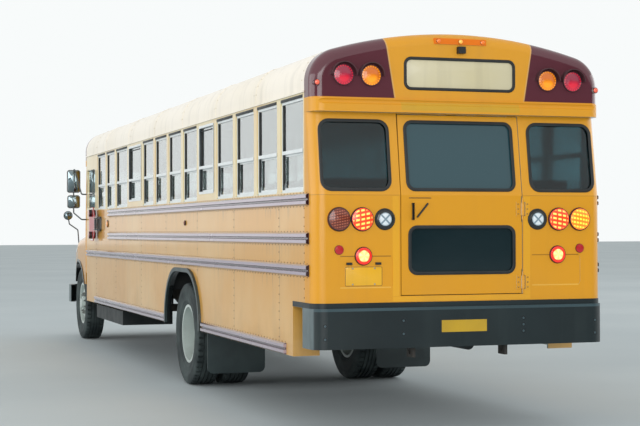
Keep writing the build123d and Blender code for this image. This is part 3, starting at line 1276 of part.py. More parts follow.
# Headlamps: a bezel in each corner of the nose with a domed rectangular lens
LENS = (200, 150, 22)
with BuildPart() as headlamps:
    for side in (1, -1):
        (y, z, wide, tall, corner) = HEADLAMP
        x0 = fore(HOOD_NOSE - HOOD_SKIN - 10)
        with BuildSketch(cross_plane(x0)) as bezel:
            with Locations((side * y, z)):
                RectangleRounded(wide - 2 * SEAT, tall - 2 * SEAT, corner - SEAT)
        extrude(bezel.sketch, amount=HOOD_SKIN)
        (wide, tall, corner) = LENS
        with BuildSketch(cross_plane(x0 + HOOD_SKIN - 1)) as lens_outline:
            with Locations((side * y, z)):
                RectangleRounded(wide, tall, corner)
        extrude(lens_outline.sketch, amount=14, taper=25)
save("headlamps", headlamps)

# Fuel tank on the right, battery box on the left, both hung under the body
TANK = (REAR_AXLE + 1750, REAR_AXLE + 3250, -1050, -470, FRAME_UNDER - 230, FLOOR_UNDER - 70)
TANK_CORNER = 70
TANK_BRACKET = 40
BATTERY_BOX = (REAR_AXLE + 3730, REAR_AXLE + 5700, 480, 1130, SKIRT - 220, SKIRT - 40)
HANGER_Y = (520, 1060)
with BuildPart() as tank_and_battery_box:
    (rear, front, y0, y1, low, high) = TANK
    box(fore(rear), fore(front), y0, y1, low, high)
    fillet(edges().filter_by(Axis.X), TANK_CORNER)
    for distance in (rear + 300, front - 300):
        box(fore(distance - TANK_BRACKET), fore(distance + TANK_BRACKET), y1 - 1, -FRAME_HALF,
            FRAME_UNDER + 30, FRAME_UNDER + 140)
    (rear, front, y0, y1, low, high) = BATTERY_BOX
    box(fore(rear), fore(front), y0, y1, low, high)
    for number in range(SILL_COUNT):
        distance = FIRST_SILL + SILL_PITCH * number
        if rear + SILL_HALF < distance < front - SILL_HALF:
            for y in HANGER_Y:
                box(fore(distance - 20), fore(distance + 20), y - 15, y + 15, high - 1, FRAME_TOP)
save("tank_and_battery_box", tank_and_battery_box)

# Exhaust: silencer and tail pipe, hung from the cross members
EXHAUST = (-225, FRAME_UNDER - 35, 50, 110)
PIPE_ENDS = (CROSS_MEMBERS[0], ENGINE[0] - 120)
SILENCER = (REAR_AXLE + 2900, REAR_AXLE + 4200)
STRAP_HALF = 15
with BuildPart() as exhaust:
    (y, z, radius, drum_radius) = EXHAUST
    rod((fore(PIPE_ENDS[0]), y, z), (fore(PIPE_ENDS[1]), y, z), radius)
    rod((fore(SILENCER[0]), y, z), (fore(SILENCER[1]), y, z), drum_radius)
    for distance in CROSS_MEMBERS[1:6]:
        box(fore(distance) - STRAP_HALF, fore(distance) + STRAP_HALF, y - STRAP_HALF, y + STRAP_HALF, z + radius / 2,
            FRAME_TOP - FRAME_DEPTH / 2 - CROSS_RADIUS - SEAT)
save("exhaust", exhaust)

# Seats: rows of two benches, and the driver's seat
FIRST_SEAT = 560
SEAT_PITCH = 710
SEAT_ROWS = 12
AISLE_HALF = 150
SEAT_BASE = FLOOR_TOP + 330
SEAT_BACK = FLOOR_TOP + 940
DRIVER_SEAT = (ENTRANCE_REAR - 140, 290, 750)
BACK_CORNER = 40


def bench(distance, y0, y1, leg_y):
    """Leaning back with a rounded top, cushion, and one long leg near the aisle."""
    x0 = fore(distance)
    with BuildSketch(side_plane(max(y0, y1))) as profile:
        with BuildLine():
            Polyline((x0, SEAT_BASE), (x0 - 120, SEAT_BACK), (x0 - 30, SEAT_BACK), (x0 + 110, SEAT_BASE + 110),
                     (x0 + 410, SEAT_BASE + 120), (x0 + 410, SEAT_BASE), close=True)
        make_face()
        fillet(vertices().group_by(Axis.Y)[-1], BACK_CORNER)
    extrude(profile.sketch, amount=abs(y1 - y0))
    box(x0 + 60, x0 + 360, leg_y - 20, leg_y + 20, FLOOR_TOP, SEAT_BASE + 1)


with BuildPart() as seats:
    for row in range(SEAT_ROWS):
        for side in (1, -1):
            bench(FIRST_SEAT + row * SEAT_PITCH, side * AISLE_HALF, side * FLOOR_HALF, side * (AISLE_HALF + 60))
    (distance, y0, y1) = DRIVER_SEAT
    bench(distance, y0, y1, (y0 + y1) / 2)
save("seats", seats)

# Dashboard with a curved top, and the steering wheel on its column
DASH = (ENTRANCE_FRONT - 60, -400, 1100, FRONT_SILL - 300, FRONT_SILL - 20)
STEERING = (ENTRANCE_FRONT - 110, 520, FRONT_SILL - 40)
STEERING_LEAN = -60
STEERING_RING = (210, 16)
with BuildPart() as driver_controls:
    (rear, y0, y1, low, high) = DASH
    back = fore(rear)
    front = fore(FRONT_FACE - WALL - SEAT)
    with BuildSketch(side_plane(y1)) as profile:
        with BuildLine():
            Polyline((back, high - 120), (back + 60, low), (front, low), (front, high))
            ThreePointArc((front, high), ((back + front) / 2, high - 15), (back, high - 120))
        make_face()
    extrude(profile.sketch, amount=y1 - y0)
    (distance, y, z) = STEERING
    (radius, thick) = STEERING_RING
    with Locations(Location((fore(distance), y, z), (0, STEERING_LEAN, 0))):
        Torus(radius, thick)
        Cylinder(45, 40)
        with PolarLocations(radius / 2, 3):
            Box(radius, 30, 14)
        with Locations((0, 0, -100)):
            Cylinder(28, 220)
save("driver_controls", driver_controls)

# Mirrors beside the windscreen: two heads on a bent tube that is fixed to the body's side
MIRROR_TUBE = 10
MIRROR_BEND = 28
MIRROR_Y = 1355
MIRROR_X = FRONT_FACE + 130
MIRROR_BASE = FRONT_FACE - 180
MIRROR_HEADS = ((2315, 190, 330), (2020, 180, 190))
HEAD_THICK = 44
HEAD_CORNER = 35
with BuildPart() as mirrors:
    path = [(fore(MIRROR_BASE), HALF, 2120), (fore(MIRROR_BASE), HALF + 70, 2120), (fore(MIRROR_X), MIRROR_Y, 2540),
            (fore(MIRROR_X), MIRROR_Y, 1860), (fore(MIRROR_BASE), HALF + 70, 1760), (fore(MIRROR_BASE), HALF, 1760)]
    bent_tube(path, MIRROR_TUBE, MIRROR_BEND)
    for z, wide, tall in MIRROR_HEADS:
        with BuildSketch(cross_plane(fore(MIRROR_X) - HEAD_THICK / 2)) as head:
            with Locations((MIRROR_Y, z)):
                RectangleRounded(wide, tall, HEAD_CORNER)
        extrude(head.sketch, amount=HEAD_THICK)
    mirror(about=Plane.XZ)
save("mirrors", mirrors)

# Lamps: a short drum with a domed front, on a flat face that looks along or across the bus
LAMP_7 = 89
REAR_LAMPS = (
    # Y, height, radius, depth of the drum, rise of the dome
    (1014, 1675, LAMP_7, 16, 12), (829, 1675, LAMP_7, 16, 12), (644, 1675, 70, 10, 8), (819, 1395, 68, 10, 8),
    (1015, 1443, 36, 6, 2),
)
WARNING_LAMPS = ((968, 2772), (745, 2772))
WARNING_LENS = (80, 18, 12)
VISOR = (94, 100, 56)
BAR_LAMPS = (-186, 0, 186)
BAR_LENS = (17, 5, 5)
MARKER_LENS = (20, 5, 6)
SIDE_LAMPS = ((REAR_AXLE - 210, 1673, 26), (REAR_AXLE + 4320, 1690, 45))
CAMERA = (30, 2990, 44, 52)
PLATE_LAMPS = ((700, 1338), (934, 1338))
PLATE_LAMP = (44, 18, 12)


def lamp(place, facing, radius, depth, rise):
    """Drum and dome turned about the line that the lamp looks along."""
    (x, y, z) = place
    (fx, fy) = facing
    globe = (radius ** 2 + rise ** 2) / (2 * rise)
    shoulder = depth + rise - globe + (globe ** 2 - (radius / 2) ** 2) ** 0.5
    with BuildSketch(Plane(origin=place, x_dir=(fx, fy, 0), z_dir=(fy, -fx, 0))) as section:
        with BuildLine():
            Polyline((depth + rise, 0), (0, 0), (0, radius), (depth, radius))
            ThreePointArc((depth, radius), (shoulder, radius / 2), (depth + rise, 0))
        make_face()
    revolve(section.sketch, axis=Axis(place, (fx, fy, 0)))


def lamp_visor(x, y, z, facing):
    """Upper half of a short tube over a lamp."""
    (inner, outer, length) = VISOR
    with BuildSketch(cross_plane(min(x, x + facing * length))) as ring:
        with Locations((y, z)):
            Circle(outer)
            Circle(inner, mode=Mode.SUBTRACT)
        with Locations((y, z - outer)):
            Rectangle(2 * outer, 2 * outer, mode=Mode.SUBTRACT)
    extrude(ring.sketch, amount=length)


with BuildPart() as lamps:
    for side in (1, -1):
        for y, z, radius, depth, rise in REAR_LAMPS:
            lamp((fore(0), side * y, z), (-1, 0), radius, depth, rise)
        for distance, z, radius in SIDE_LAMPS:
            lamp((fore(distance), side * HALF, z), (0, side), radius, 10, 8)
    for face_x, facing in ((fore(CAP_STEP), -1), (fore(FRONT_FACE - FRONT_CAP_STEP), 1)):
        for side in (1, -1):
            for y, z in WARNING_LAMPS:
                lamp((face_x, side * y, z), (facing, 0), *WARNING_LENS)
                lamp_visor(face_x, side * y, z, facing)
            (y, z, radius) = MARKER_BOSSES
            lamp((face_x + facing * BOSS_PROUD, side * y, z), (facing, 0), *MARKER_LENS)
        (half, low, high) = LIGHT_BAR
        for y in BAR_LAMPS:
            lamp((face_x + facing * BOSS_PROUD, y, (low + high) / 2), (facing, 0), *BAR_LENS)
    # camera above the rear sign, and two small lamps over the number plate
    (half, z, deep, tall) = CAMERA
    box(fore(CAP_STEP - deep), fore(CAP_STEP), -half, half, z - tall / 2, z + tall / 2)
    (wide, tall, proud) = PLATE_LAMP
    for y, z in PLATE_LAMPS:
        box(fore(-proud), fore(PRESSING), y - wide / 2, y + wide / 2, z - tall / 2, z + tall / 2)
save("lamps", lamps)
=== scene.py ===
# %% [markdown]
# # Dressing a school bus
# The metal of this bus, its doors, wheels and glass, comes from the CAD model and never moves here. This
# lesson adds what a CAD model has no use for: paint that has faded and run with rain, rubber, rivets, lamps
# that shine, and the light to see them by. Sizes are metres, X points forward, Y to the bus's left and Z up.

# %% Load the frame
import math

import bmesh
import bpy
from mathutils import Matrix, Vector
from mathutils.bvhtree import BVHTree


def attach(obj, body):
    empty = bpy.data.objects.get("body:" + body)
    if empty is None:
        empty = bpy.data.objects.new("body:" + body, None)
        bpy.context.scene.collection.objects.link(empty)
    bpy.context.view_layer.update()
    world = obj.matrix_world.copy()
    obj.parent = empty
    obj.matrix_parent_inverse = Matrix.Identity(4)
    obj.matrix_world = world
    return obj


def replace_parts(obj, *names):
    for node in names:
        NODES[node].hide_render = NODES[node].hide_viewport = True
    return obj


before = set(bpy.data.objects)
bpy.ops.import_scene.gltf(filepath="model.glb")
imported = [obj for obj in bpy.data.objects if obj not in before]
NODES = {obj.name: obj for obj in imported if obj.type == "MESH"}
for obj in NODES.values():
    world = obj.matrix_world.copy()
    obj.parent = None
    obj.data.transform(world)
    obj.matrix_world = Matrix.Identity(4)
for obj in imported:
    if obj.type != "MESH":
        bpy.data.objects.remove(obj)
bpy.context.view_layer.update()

# %% [markdown]
# ## Named places
# A few sizes of the real bus place everything else. Distances along the bus are measured from the rear face
# of the body, as a body builder would with a tape, and `fore` turns them into X.

# %% Named places
REAR_TO_MIDDLE = 6.135
HALF_WIDTH = 1.219
BELT = 1.860
LEAN_TOP = 2.495
LEAN = 0.094
EAVES = 2.650
CAP_FACE = 0.030
FRONT_CAP_FACE = 10.640
REAR_AXLE = 4.450
FRONT_AXLE = 11.380
AXLE_HEIGHT = 0.525
SIDES = (1, -1)
SIDE_LABELS = ((1, "left"), (-1, "right"))
REAR = Vector((-1, 0, 0))
UPRIGHT = Vector((0, 0, 1))


def fore(distance):
    """X of a place this far ahead of the rear face of the body."""
    return distance - REAR_TO_MIDDLE


# %% [markdown]
# ## Camera
# The photographer stood behind the bus on its left, with a long lens. These values come from matching some
# 150 points of the photograph to real sizes, and leave under a pixel of error. The three turns are the
# camera's heading, its tilt and a slight roll.

# %% Camera
EYE = Vector((-16.585, 4.615, 1.589))
HEADING = -0.3189
TILT = 0.0121
ROLL = -0.0033
FOCAL_PIXELS = 1463.9
FRAME_WIDTH = 640
SENSOR = 36.0

forward = Vector((math.cos(HEADING) * math.cos(TILT), math.sin(HEADING) * math.cos(TILT), math.sin(TILT)))
level_right = Vector((math.sin(HEADING), -math.cos(HEADING), 0))
level_up = level_right.cross(forward)
right = math.cos(ROLL) * level_right + math.sin(ROLL) * level_up
up = math.cos(ROLL) * level_up - math.sin(ROLL) * level_right
lens = bpy.data.cameras.new("photo_camera")
lens.sensor_width = SENSOR
lens.lens = FOCAL_PIXELS * SENSOR / FRAME_WIDTH
lens.clip_end = 400
camera = bpy.data.objects.new("photo_camera", lens)
camera.matrix_world = Matrix.Translation(EYE) @ Matrix((right, up, -forward)).transposed().to_4x4()
bpy.context.scene.collection.objects.link(camera)
bpy.context.scene.camera = camera
print("lens, mm:", round(lens.lens, 2))

# %% [markdown]
# ## Numbers in a shader
# A shader tree is easier to read as arithmetic. `Number` wraps an output of a node, so that Python's own
# signs join two of them with a maths node. A mask is a number that is 1 inside a region and 0 outside it:
# two masks multiplied keep what lies in both, and `|`, the larger of two, keeps what lies in either.

# %% Numbers in a shader
def srgb(code):
    """Linear colour of a web colour such as #DDA01C."""
    parts = [int(code[i:i + 2], 16) / 255 for i in (1, 3, 5)]
    return tuple(c / 12.92 if c <= 0.04045 else ((c + 0.055) / 1.055) ** 2.4 for c in parts) + (1.0,)


def fill(made, sockets):
    """Fills a node's sockets: an output is joined, a web colour or a value is typed in."""
    for key, value in sockets.items():
        value = getattr(value, "socket", value)
        if isinstance(value, bpy.types.NodeSocket):
            made.id_data.links.new(value, made.inputs[key])
        else:
            made.inputs[key].default_value = srgb(value) if isinstance(value, str) else value
    return made


def node(tree, kind, sockets=None, **settings):
    """Adds a shader node, sets its properties and fills its sockets."""
    made = tree.nodes.new("ShaderNode" + kind)
    for name, value in settings.items():
        setattr(made, name, value)
    return fill(made, sockets or {})


class Number:
    """A number in a shader tree."""

    def __init__(self, socket):
        self.socket = socket
        self.tree = socket.id_data

    def of(self, operation, other=0.0):
        """Result of a maths node on this number and another."""
        return Number(node(self.tree, "Math", {0: self, 1: other}, operation=operation).outputs[0])

    def __add__(self, other):
        return self.of("ADD", other)

    def __sub__(self, other):
        return self.of("SUBTRACT", other)

    def __rsub__(self, other):
        return self * -1.0 + other

    def __mul__(self, other):
        return self.of("MULTIPLY", other)

    def __truediv__(self, other):
        return self.of("DIVIDE", other)

    def __or__(self, other):
        return self.of("MAXIMUM", other)

    def __abs__(self):
        return self.of("ABSOLUTE")

    def ramp(self, low, high, start=0.0, end=1.0):
        """Maps low..high to start..end and holds the ends."""
        sockets = {"Value": self, "From Min": low, "From Max": high, "To Min": start, "To Max": end}
        return Number(node(self.tree, "MapRange", sockets).outputs["Result"])

    def below(self, limit, soft=0.0012):
        """Mask of what lies under a limit."""
        return self.ramp(limit + soft, limit - soft)

    def between(self, low, high, soft=0.0012):
        """Mask of what lies between two limits."""
        return self.ramp(low - soft, low + soft) * self.below(high, soft)


def numbers(sockets):
    return {socket.name: Number(socket) for socket in sockets}


def any_of(masks):
    total = masks[0]
    for mask in masks[1:]:
        total = total | mask
    return total


def layered(colour, *coats):
    """Lays coats over a colour. Each coat is a mask and a colour."""
    for mask, coat in coats:
        colour = node(mask.tree, "Mix", {0: mask, 6: colour, 7: coat}, data_type="RGBA").outputs[2]
    return colour


def distance_from(across, up, centre=(0.0, 0.0)):
    """How far a point lies from a centre, on a plane."""
    return ((across - centre[0]).of("POWER", 2.0) + (up - centre[1]).of("POWER", 2.0)).of("SQRT")


def discs(across, up, centres, radius):
    """Mask of round spots of one size."""
    return any_of([distance_from(across, up, centre).ramp(radius + 0.001, radius) for centre in centres])


# %% [markdown]
# ## The point being shaded
# Stripes, bands and painted parts are drawn by position, so every finish starts from the point that is being
# shaded. The normal there also tells inside from outside: where it looks back at the middle of the bus, the
# point is on the lining.

# %% The point being shaded
ROOM_MIDDLE = 2.3


class Point:
    """A point of a piece in its own metres. out is its distance from the plane through the bus's middle."""

    def __init__(self, tree):
        self.tree = tree
        self.here = node(tree, "TexCoord").outputs["Object"]
        self.x, self.y, self.z = self.apart(self.here)
        self.out = abs(self.y)

    def apart(self, vector):
        return [Number(socket) for socket in node(self.tree, "SeparateXYZ", {0: vector}).outputs]

    def normal(self):
        return self.apart(node(self.tree, "NewGeometry").outputs["Normal"])

    def noise(self, scale, detail=3.0, stretch=(1, 1, 1)):
        mapping = node(self.tree, "Mapping", {"Vector": self.here, "Scale": stretch}).outputs[0]
        sockets = {"Vector": mapping, "Scale": scale, "Detail": detail}
        return Number(node(self.tree, "TexNoise", sockets).outputs[0])

    def band(self, half, low, high):
        """Mask of what lies within half of the middle plane and between two heights."""
        return self.out.below(half) * self.z.between(low, high)

    def behind(self, distance, soft):
        """Mask of what lies nearer the rear than this distance."""
        return self.x.ramp(fore(distance + soft), fore(distance))

    def inside(self, lengthways):
        """Mask of what faces the middle of the bus. lengthways is 1 on the end walls and 0 on the sides."""
        ahead, leftward, upward = self.normal()
        across = leftward * self.y.of("SIGN")
        upright = upward * (self.z - ROOM_MIDDLE).of("SIGN") * 0.6
        along = ahead * self.x.of("SIGN") * lengthways
        return (across + upright + along).ramp(-0.35, -0.45)


# %% [markdown]
# ## Effects that several finishes share
# Outdoor paint shows three things at once: it fades in soft patches, rain leaves upright streaks, and the
# road throws grime at whatever hangs low. They are one node group, `weather`, so that every finish ages alike
# and only the amounts differ. A second group, `grain`, gives fine bumps and a mottled tone to rubber, plastic
# and vinyl. A third draws the rows of small diodes in the stop and turn lamps: two waves, one across and one
# up, kept where both are high.

# %% Weather group
COLOUR_LABELS = ("Colour", "Faded", "Grime", "Worn")


def shader_group(name, inputs, outputs):
    """A node group with named colours and numbers: its tree, its inputs and its output node."""
    tree = bpy.data.node_groups.new(name, "ShaderNodeTree")
    for way, labels in (("INPUT", inputs), ("OUTPUT", outputs)):
        for label in labels:
            kind = "Color" if label in COLOUR_LABELS else "Float"
            tree.interface.new_socket(label, in_out=way, socket_type="NodeSocket" + kind)
    return tree, numbers(tree.nodes.new("NodeGroupInput").outputs), tree.nodes.new("NodeGroupOutput")


WEATHER, given, result = shader_group(
    "weather", ("Colour", "Faded", "Grime", "Fade", "Streaks", "Grime top", "Grime amount"),
    ("Colour", "Roughness", "Height"))
point = Point(WEATHER)
patches = point.noise(0.9, 4.0).ramp(0.42, 0.68)
runs = point.noise(9.0, 3.0, (1, 1, 0.07)).ramp(0.52, 0.74)
rising = given["Grime top"] - point.z + point.noise(2.4, 5.0).ramp(0.3, 0.7, -0.3, 0.3)
spatter = point.noise(60.0, 2.0).ramp(0.55, 0.75, 0.0, 0.35)
dirt = rising.ramp(0.0, 0.9) * given["Grime amount"] * (spatter + 0.75)
aged = layered(given["Colour"], (patches * given["Fade"], given["Faded"]),
               (runs * given["Streaks"], given["Grime"]), (dirt, given["Grime"]))
fill(result, {"Colour": aged, "Roughness": patches * 0.08 + dirt * 0.5, "Height": point.noise(1.6, 2.0)})
print("weather group:", len(WEATHER.nodes), "nodes")

# %% Grain and diode groups
GRAIN, given, result = shader_group(
    "grain", ("Colour", "Worn", "Scale", "Wear"), ("Colour", "Roughness", "Height"))
point = Point(GRAIN)
speck = node(GRAIN, "TexVoronoi", {"Vector": point.here, "Scale": given["Scale"]}).outputs["Distance"]
cloud = point.noise(5.0, 5.0).ramp(0.4, 0.75)
worn = layered(given["Colour"], (cloud * given["Wear"], given["Worn"]))
fill(result, {"Colour": worn, "Roughness": cloud * 0.2, "Height": speck})
print("grain group:", len(GRAIN.nodes), "nodes")

DIODE_ROWS, given, result = shader_group("diode_rows", ("Across", "Up", "Row", "Dash"), ("Mask",))
slope = given["Up"] + given["Across"] * 0.18
row_wave = (slope / given["Row"] * math.tau).of("COSINE").ramp(-0.1, 0.45)
dash_wave = (given["Across"] / given["Dash"] * math.tau).of("COSINE").ramp(-0.8, -0.2)
fill(result, {"Mask": row_wave * dash_wave})
print("diode group:", len(DIODE_ROWS.nodes), "nodes")

# %% [markdown]
# ## Makers of finishes
# A finish is one material. `new_finish` opens it with its Principled shader, and the two makers after it
# build the painted and the grained ones from the shared groups. What is even over the whole surface, such as
# coat, is typed straight into the shader. A colour is a web colour or a function of the point. The CAD brings
# plain materials of its own, some under the same names, so the finishes are kept apart in `SHELF`.

# %% Makers of finishes
SPARED_ROUGHNESS = 0.10
SHELF = {}


def new_finish(name, **shader_values):
    """Makes a material and shelves it: returns its Principled shader and its point."""
    material = bpy.data.materials.new(name)
    material.use_nodes = True
    SHELF[name] = material
    shader = material.node_tree.nodes["Principled BSDF"]
    fill(shader, {key.replace("_", " "): value for key, value in shader_values.items()})
    return shader, Point(material.node_tree)


def add_bump(shader, height, strength, distance):
    sockets = {"Height": height, "Strength": strength, "Distance": distance}
    fill(shader, {"Normal": node(shader.id_data, "Bump", sockets).outputs[0]})


def use_group(tree, group, values):
    made = tree.nodes.new("ShaderNodeGroup")
    made.node_tree = group
    return numbers(fill(made, values).outputs)


def weathered(name, colour, faded, roughness, coat, fade, streaks, grime_top, grime_amount, wave=0.004,
              grime="#5B5348"):
    """Outdoor paint. Its colour function also gives a mask.

    The mask is 1 on glass, rubber and lining, which share the panel but don't fade as its paint does.
    """
    shader, point = new_finish(name, Coat_Weight=coat, Coat_Roughness=0.06)
    colour, spared = colour(point) if callable(colour) else (colour, None)
    amounts = {"Fade": fade, "Streaks": streaks, "Grime amount": grime_amount}
    if spared:
        painted = 1 - spared
        amounts = {key: painted * amount for key, amount in amounts.items()}
        roughness = spared.ramp(0.0, 1.0, roughness, SPARED_ROUGHNESS)
    colours = {"Colour": colour, "Faded": faded, "Grime": grime, "Grime top": grime_top}
    aged = use_group(point.tree, WEATHER, {**colours, **amounts})
    fill(shader, {"Base Color": aged["Colour"], "Roughness": aged["Roughness"] + roughness})
    add_bump(shader, aged["Height"], 0.5, wave)


def grained(name, colour, worn, scale, roughness, wear, depth=0.0006, metallic=0.0, coat=0.0):
    """Rubber, plastic, vinyl or bare metal with fine grain."""
    shader, point = new_finish(name, Metallic=metallic, Coat_Weight=coat)
    colour = colour(point) if callable(colour) else colour
    skin = use_group(point.tree, GRAIN, {"Colour": colour, "Worn": worn, "Scale": scale, "Wear": wear})
    fill(shader, {"Base Color": skin["Colour"], "Roughness": skin["Roughness"] + roughness})
    add_bump(shader, skin["Height"], 0.4, depth)


# %% [markdown]
# ## Body paint
# The body is school-bus yellow outside and pale grey-green inside, and one panel carries both. The rest is
# drawn by position: panel seams, drips under the rub rails, the paler paint between the windows and bright
# reflective tape round the emergency door.

# %% Body colours
YELLOW = "#E09A0A"
FADED_YELLOW = "#E3B45C"
# SIDE_YELLOW is the body yellow made paler, a painted reflection of the sky that the side walls mirror.
SIDE_YELLOW = "#DDA036"
TAPE_YELLOW = "#EBA914"
PILLAR_CREAM = "#E6D29C"
CREAM = "#FBF1E1"
MAROON = "#5E313A"
LINING = "#B9C0B4"
SEAM = "#5A421A"
ARCH_BLACK = "#16191A"
PANEL_SEAMS = [fore(distance) for distance in (0.211, 0.884, 2.300, 3.709, 5.160, 6.509, 8.166, 9.640)]
RAILS = (1.828, 1.530, 1.285, 0.653)
RAIL_HALF = 0.045
DRIP = 0.130
ARCH_MIDDLE = fore(4.370)
ARCH_FOOT = 0.650
ARCH_STRAIGHT = 0.240
ARCH_CORNER = 0.520
SILL = 1.884
TAPE_ACROSS = (0.528, 0.580)
TAPE_SIDES = (1.086, 1.852)
TAPE_FOOT = (1.048, 1.082)
DOOR_GAP = 0.515
PRESSED_MIDDLE = 0.800
PRESSED_HALF = 0.205
PRESSED_EDGES = (1.156, 1.394)


def side_colour(point):
    """Side wall: cream between the windows, seams, drips under each rail, black in the wheel arch."""
    columns = point.noise(26.0, 2.0, (1, 1, 0.03)).ramp(0.56, 0.72)
    feet = [rail - RAIL_HALF for rail in RAILS[:3]]
    drips = any_of([point.z.ramp(foot - DRIP, foot) * point.z.ramp(foot + 0.002, foot) for foot in feet])
    seams = any_of([point.x.between(seam - 0.0035, seam + 0.0035, 0.0006) for seam in PANEL_SEAMS])
    beyond = abs(point.x - ARCH_MIDDLE) - ARCH_STRAIGHT | 0.0
    over = point.z - ARCH_FOOT | 0.0
    arch = distance_from(beyond, over).ramp(ARCH_CORNER + 0.022, ARCH_CORNER + 0.020)
    lining = point.inside(0.0) * (1 - arch)
    over_sill = point.z.ramp(SILL - 0.004, SILL)
    colour = layered(SIDE_YELLOW, (over_sill, PILLAR_CREAM), (drips * columns * 0.55, "#8A6A3A"),
                     (seams * (1 - over_sill) * 0.75, SEAM), (arch, ARCH_BLACK), (lining, LINING))
    return colour, arch | lining


def rear_colour(point):
    """End wall: a belt seam, a painted highlight on the pressed panels' lower edges and painted shade on
    their upper ones, and tape beside and under the emergency door.
    """
    at_rear = point.behind(0.29, 0.01)
    beside = point.out.between(*TAPE_ACROSS) * point.z.between(*TAPE_SIDES)
    tape = beside | point.band(TAPE_ACROSS[1], *TAPE_FOOT)
    belt = point.z.between(BELT - 0.0018, BELT + 0.0018, 0.0008) * point.out.ramp(DOOR_GAP, DOOR_GAP + 0.003)
    width = point.out.between(PRESSED_MIDDLE - PRESSED_HALF, PRESSED_MIDDLE + PRESSED_HALF)
    # Painted highlight on the pressed panels' lower edge, painted shade on their upper edge in the belt
    # seam's dark.
    foot, head = [width * point.z.between(edge - 0.004, edge + 0.004) * at_rear for edge in PRESSED_EDGES]
    inside = point.inside(1.0)
    colour = layered(YELLOW, (tape * at_rear, TAPE_YELLOW), (foot * 0.7, "#F3C55A"),
                     ((belt * at_rear | head) * 0.7, "#7A5210"), (inside, LINING))
    return colour, inside


def roof_colour(point):
    inside = point.inside(0.0)
    return layered(CREAM, (inside, LINING)), inside


# %% [markdown]
# ## Doors
# The emergency door leans with the rear wall above the belt, so its panes and handle are found by their depth
# from the leaning face. The panes of the entrance leaves are the only flat faces part way through them.

# %% Door colours
DOOR_PANES = ((0.450, 1.902, 2.430), (0.440, 1.258, 1.615))
PANE_SINK = 0.008
HANDLE_ACROSS = (0.30, 0.52)
HANDLE_HEIGHTS = (1.650, 1.820)
# Opaque pane colours: their dark tones are painted shade of the dim inside seen through glass.
DOOR_GLASS_HIGH = "#27474F"
DOOR_GLASS_LOW = "#112429"
LEAF_GLASS = "#22383E"
LEAF_PANE = (0.013, 0.027)


def door_colour(point):
    """The door's own yellow, its two panes painted opaque, dark as painted shade of the dim inside, the lower
    one darker, and its black handle.
    """
    depth = point.x - (point.z.ramp(BELT, LEAN_TOP, 0.0, LEAN) + fore(0))
    panes = any_of([point.band(half - 0.001, low, high) for half, low, high in DOOR_PANES])
    glass = panes * depth.ramp(PANE_SINK - 0.001, PANE_SINK)
    grip = point.y.between(*HANDLE_ACROSS) * point.z.between(*HANDLE_HEIGHTS) * depth.ramp(-0.001, -0.002)
    lining = point.inside(1.0)
    # Painted shade: the lower pane is darker than the upper one.
    pane_colour = layered(DOOR_GLASS_LOW, (point.z.ramp(1.700, 1.800), DOOR_GLASS_HIGH))
    colour = layered(YELLOW, (lining, LINING), (grip, "#15191B"), (glass, pane_colour))
    return colour, glass | grip | lining


def leaf_colour(point):
    """A leaf of the entrance door, its pane painted opaque and dark as painted shade of the dim inside."""
    flat = abs(point.normal()[1]).ramp(0.80, 0.90)
    pane = (point.y + HALF_WIDTH).between(*LEAF_PANE) * flat
    inside = point.inside(0.0)
    return layered(SIDE_YELLOW, (inside, LINING), (pane, LEAF_GLASS)), pane | inside


# %% [markdown]
# ## Cap, bumper, rails, bonnet and stop arm
# Each cap has a maroon corner round every pair of warning lamps, edged by a pale line that is a painted
# highlight on its slightly raised edge. The bumper is black steel with a top flange painted paler as a
# painted highlight, bolt heads and one blank yellow label. The rub rails are ribbed dark maroon, their ribs
# painted pale as a painted reflection of the sky, and end in a dark cap. The stop arm's blade is red with a
# white border that follows its eight sides: the distance to an octagon's edge is the largest of three,
# across, up, and along the diagonal.

# %% Colours of cap, bumper, rails, bonnet and stop arm
PATCH_HEIGHTS = (2.604, 3.060)
PATCH_EDGE = (0.545, 0.620)
BEAD = 0.0055
BAR = (0.2195, 3.033, 3.081)
STRIP = (0.500, 2.512, 2.574)
LABEL = (0.190, 0.805, 0.897)
FLANGE_HEIGHTS = (0.978, 1.0005)
REAR_BOLTS = ((1.136, 0.87), (1.136, 0.77), (-1.136, 0.87), (-1.136, 0.77), (0.505, 0.90), (0.505, 0.80),
              (-0.505, 0.90), (-0.505, 0.80), (-0.505, 0.85))
MIRROR_STALK = (fore(11.985), fore(12.015))
BLADE_MIDDLE = fore(9.6585)
BLADE_HEIGHT = 1.690
BORDER = (0.203, 0.2225)
ARM_LAMPS = [(BLADE_MIDDLE, BLADE_HEIGHT + lift) for lift in (0.150, -0.150)]


def cap_colour(point):
    """Yellow middle, maroon corners outside a line that leans outward, yellow ledge under them."""
    past_edge = point.out - point.z.ramp(*PATCH_HEIGHTS, *PATCH_EDGE)
    over = point.z.ramp(PATCH_HEIGHTS[0], PATCH_HEIGHTS[0] + 0.003)
    patch = past_edge.ramp(0.0, 0.003) * over
    # The pale line along the maroon corner's edge is a painted highlight.
    bead = past_edge.between(-BEAD, BEAD) * over
    strip = point.band(*STRIP) * point.behind(0.29, 0.01)
    bar = point.band(*BAR)
    inside = point.inside(1.0)
    colour = layered(YELLOW, (patch, MAROON), (bead * 0.8, "#D8A868"), (strip, "#CFA01A"), (bar, "#EE7A20"),
                     (inside, LINING))
    return colour, inside | patch | bar


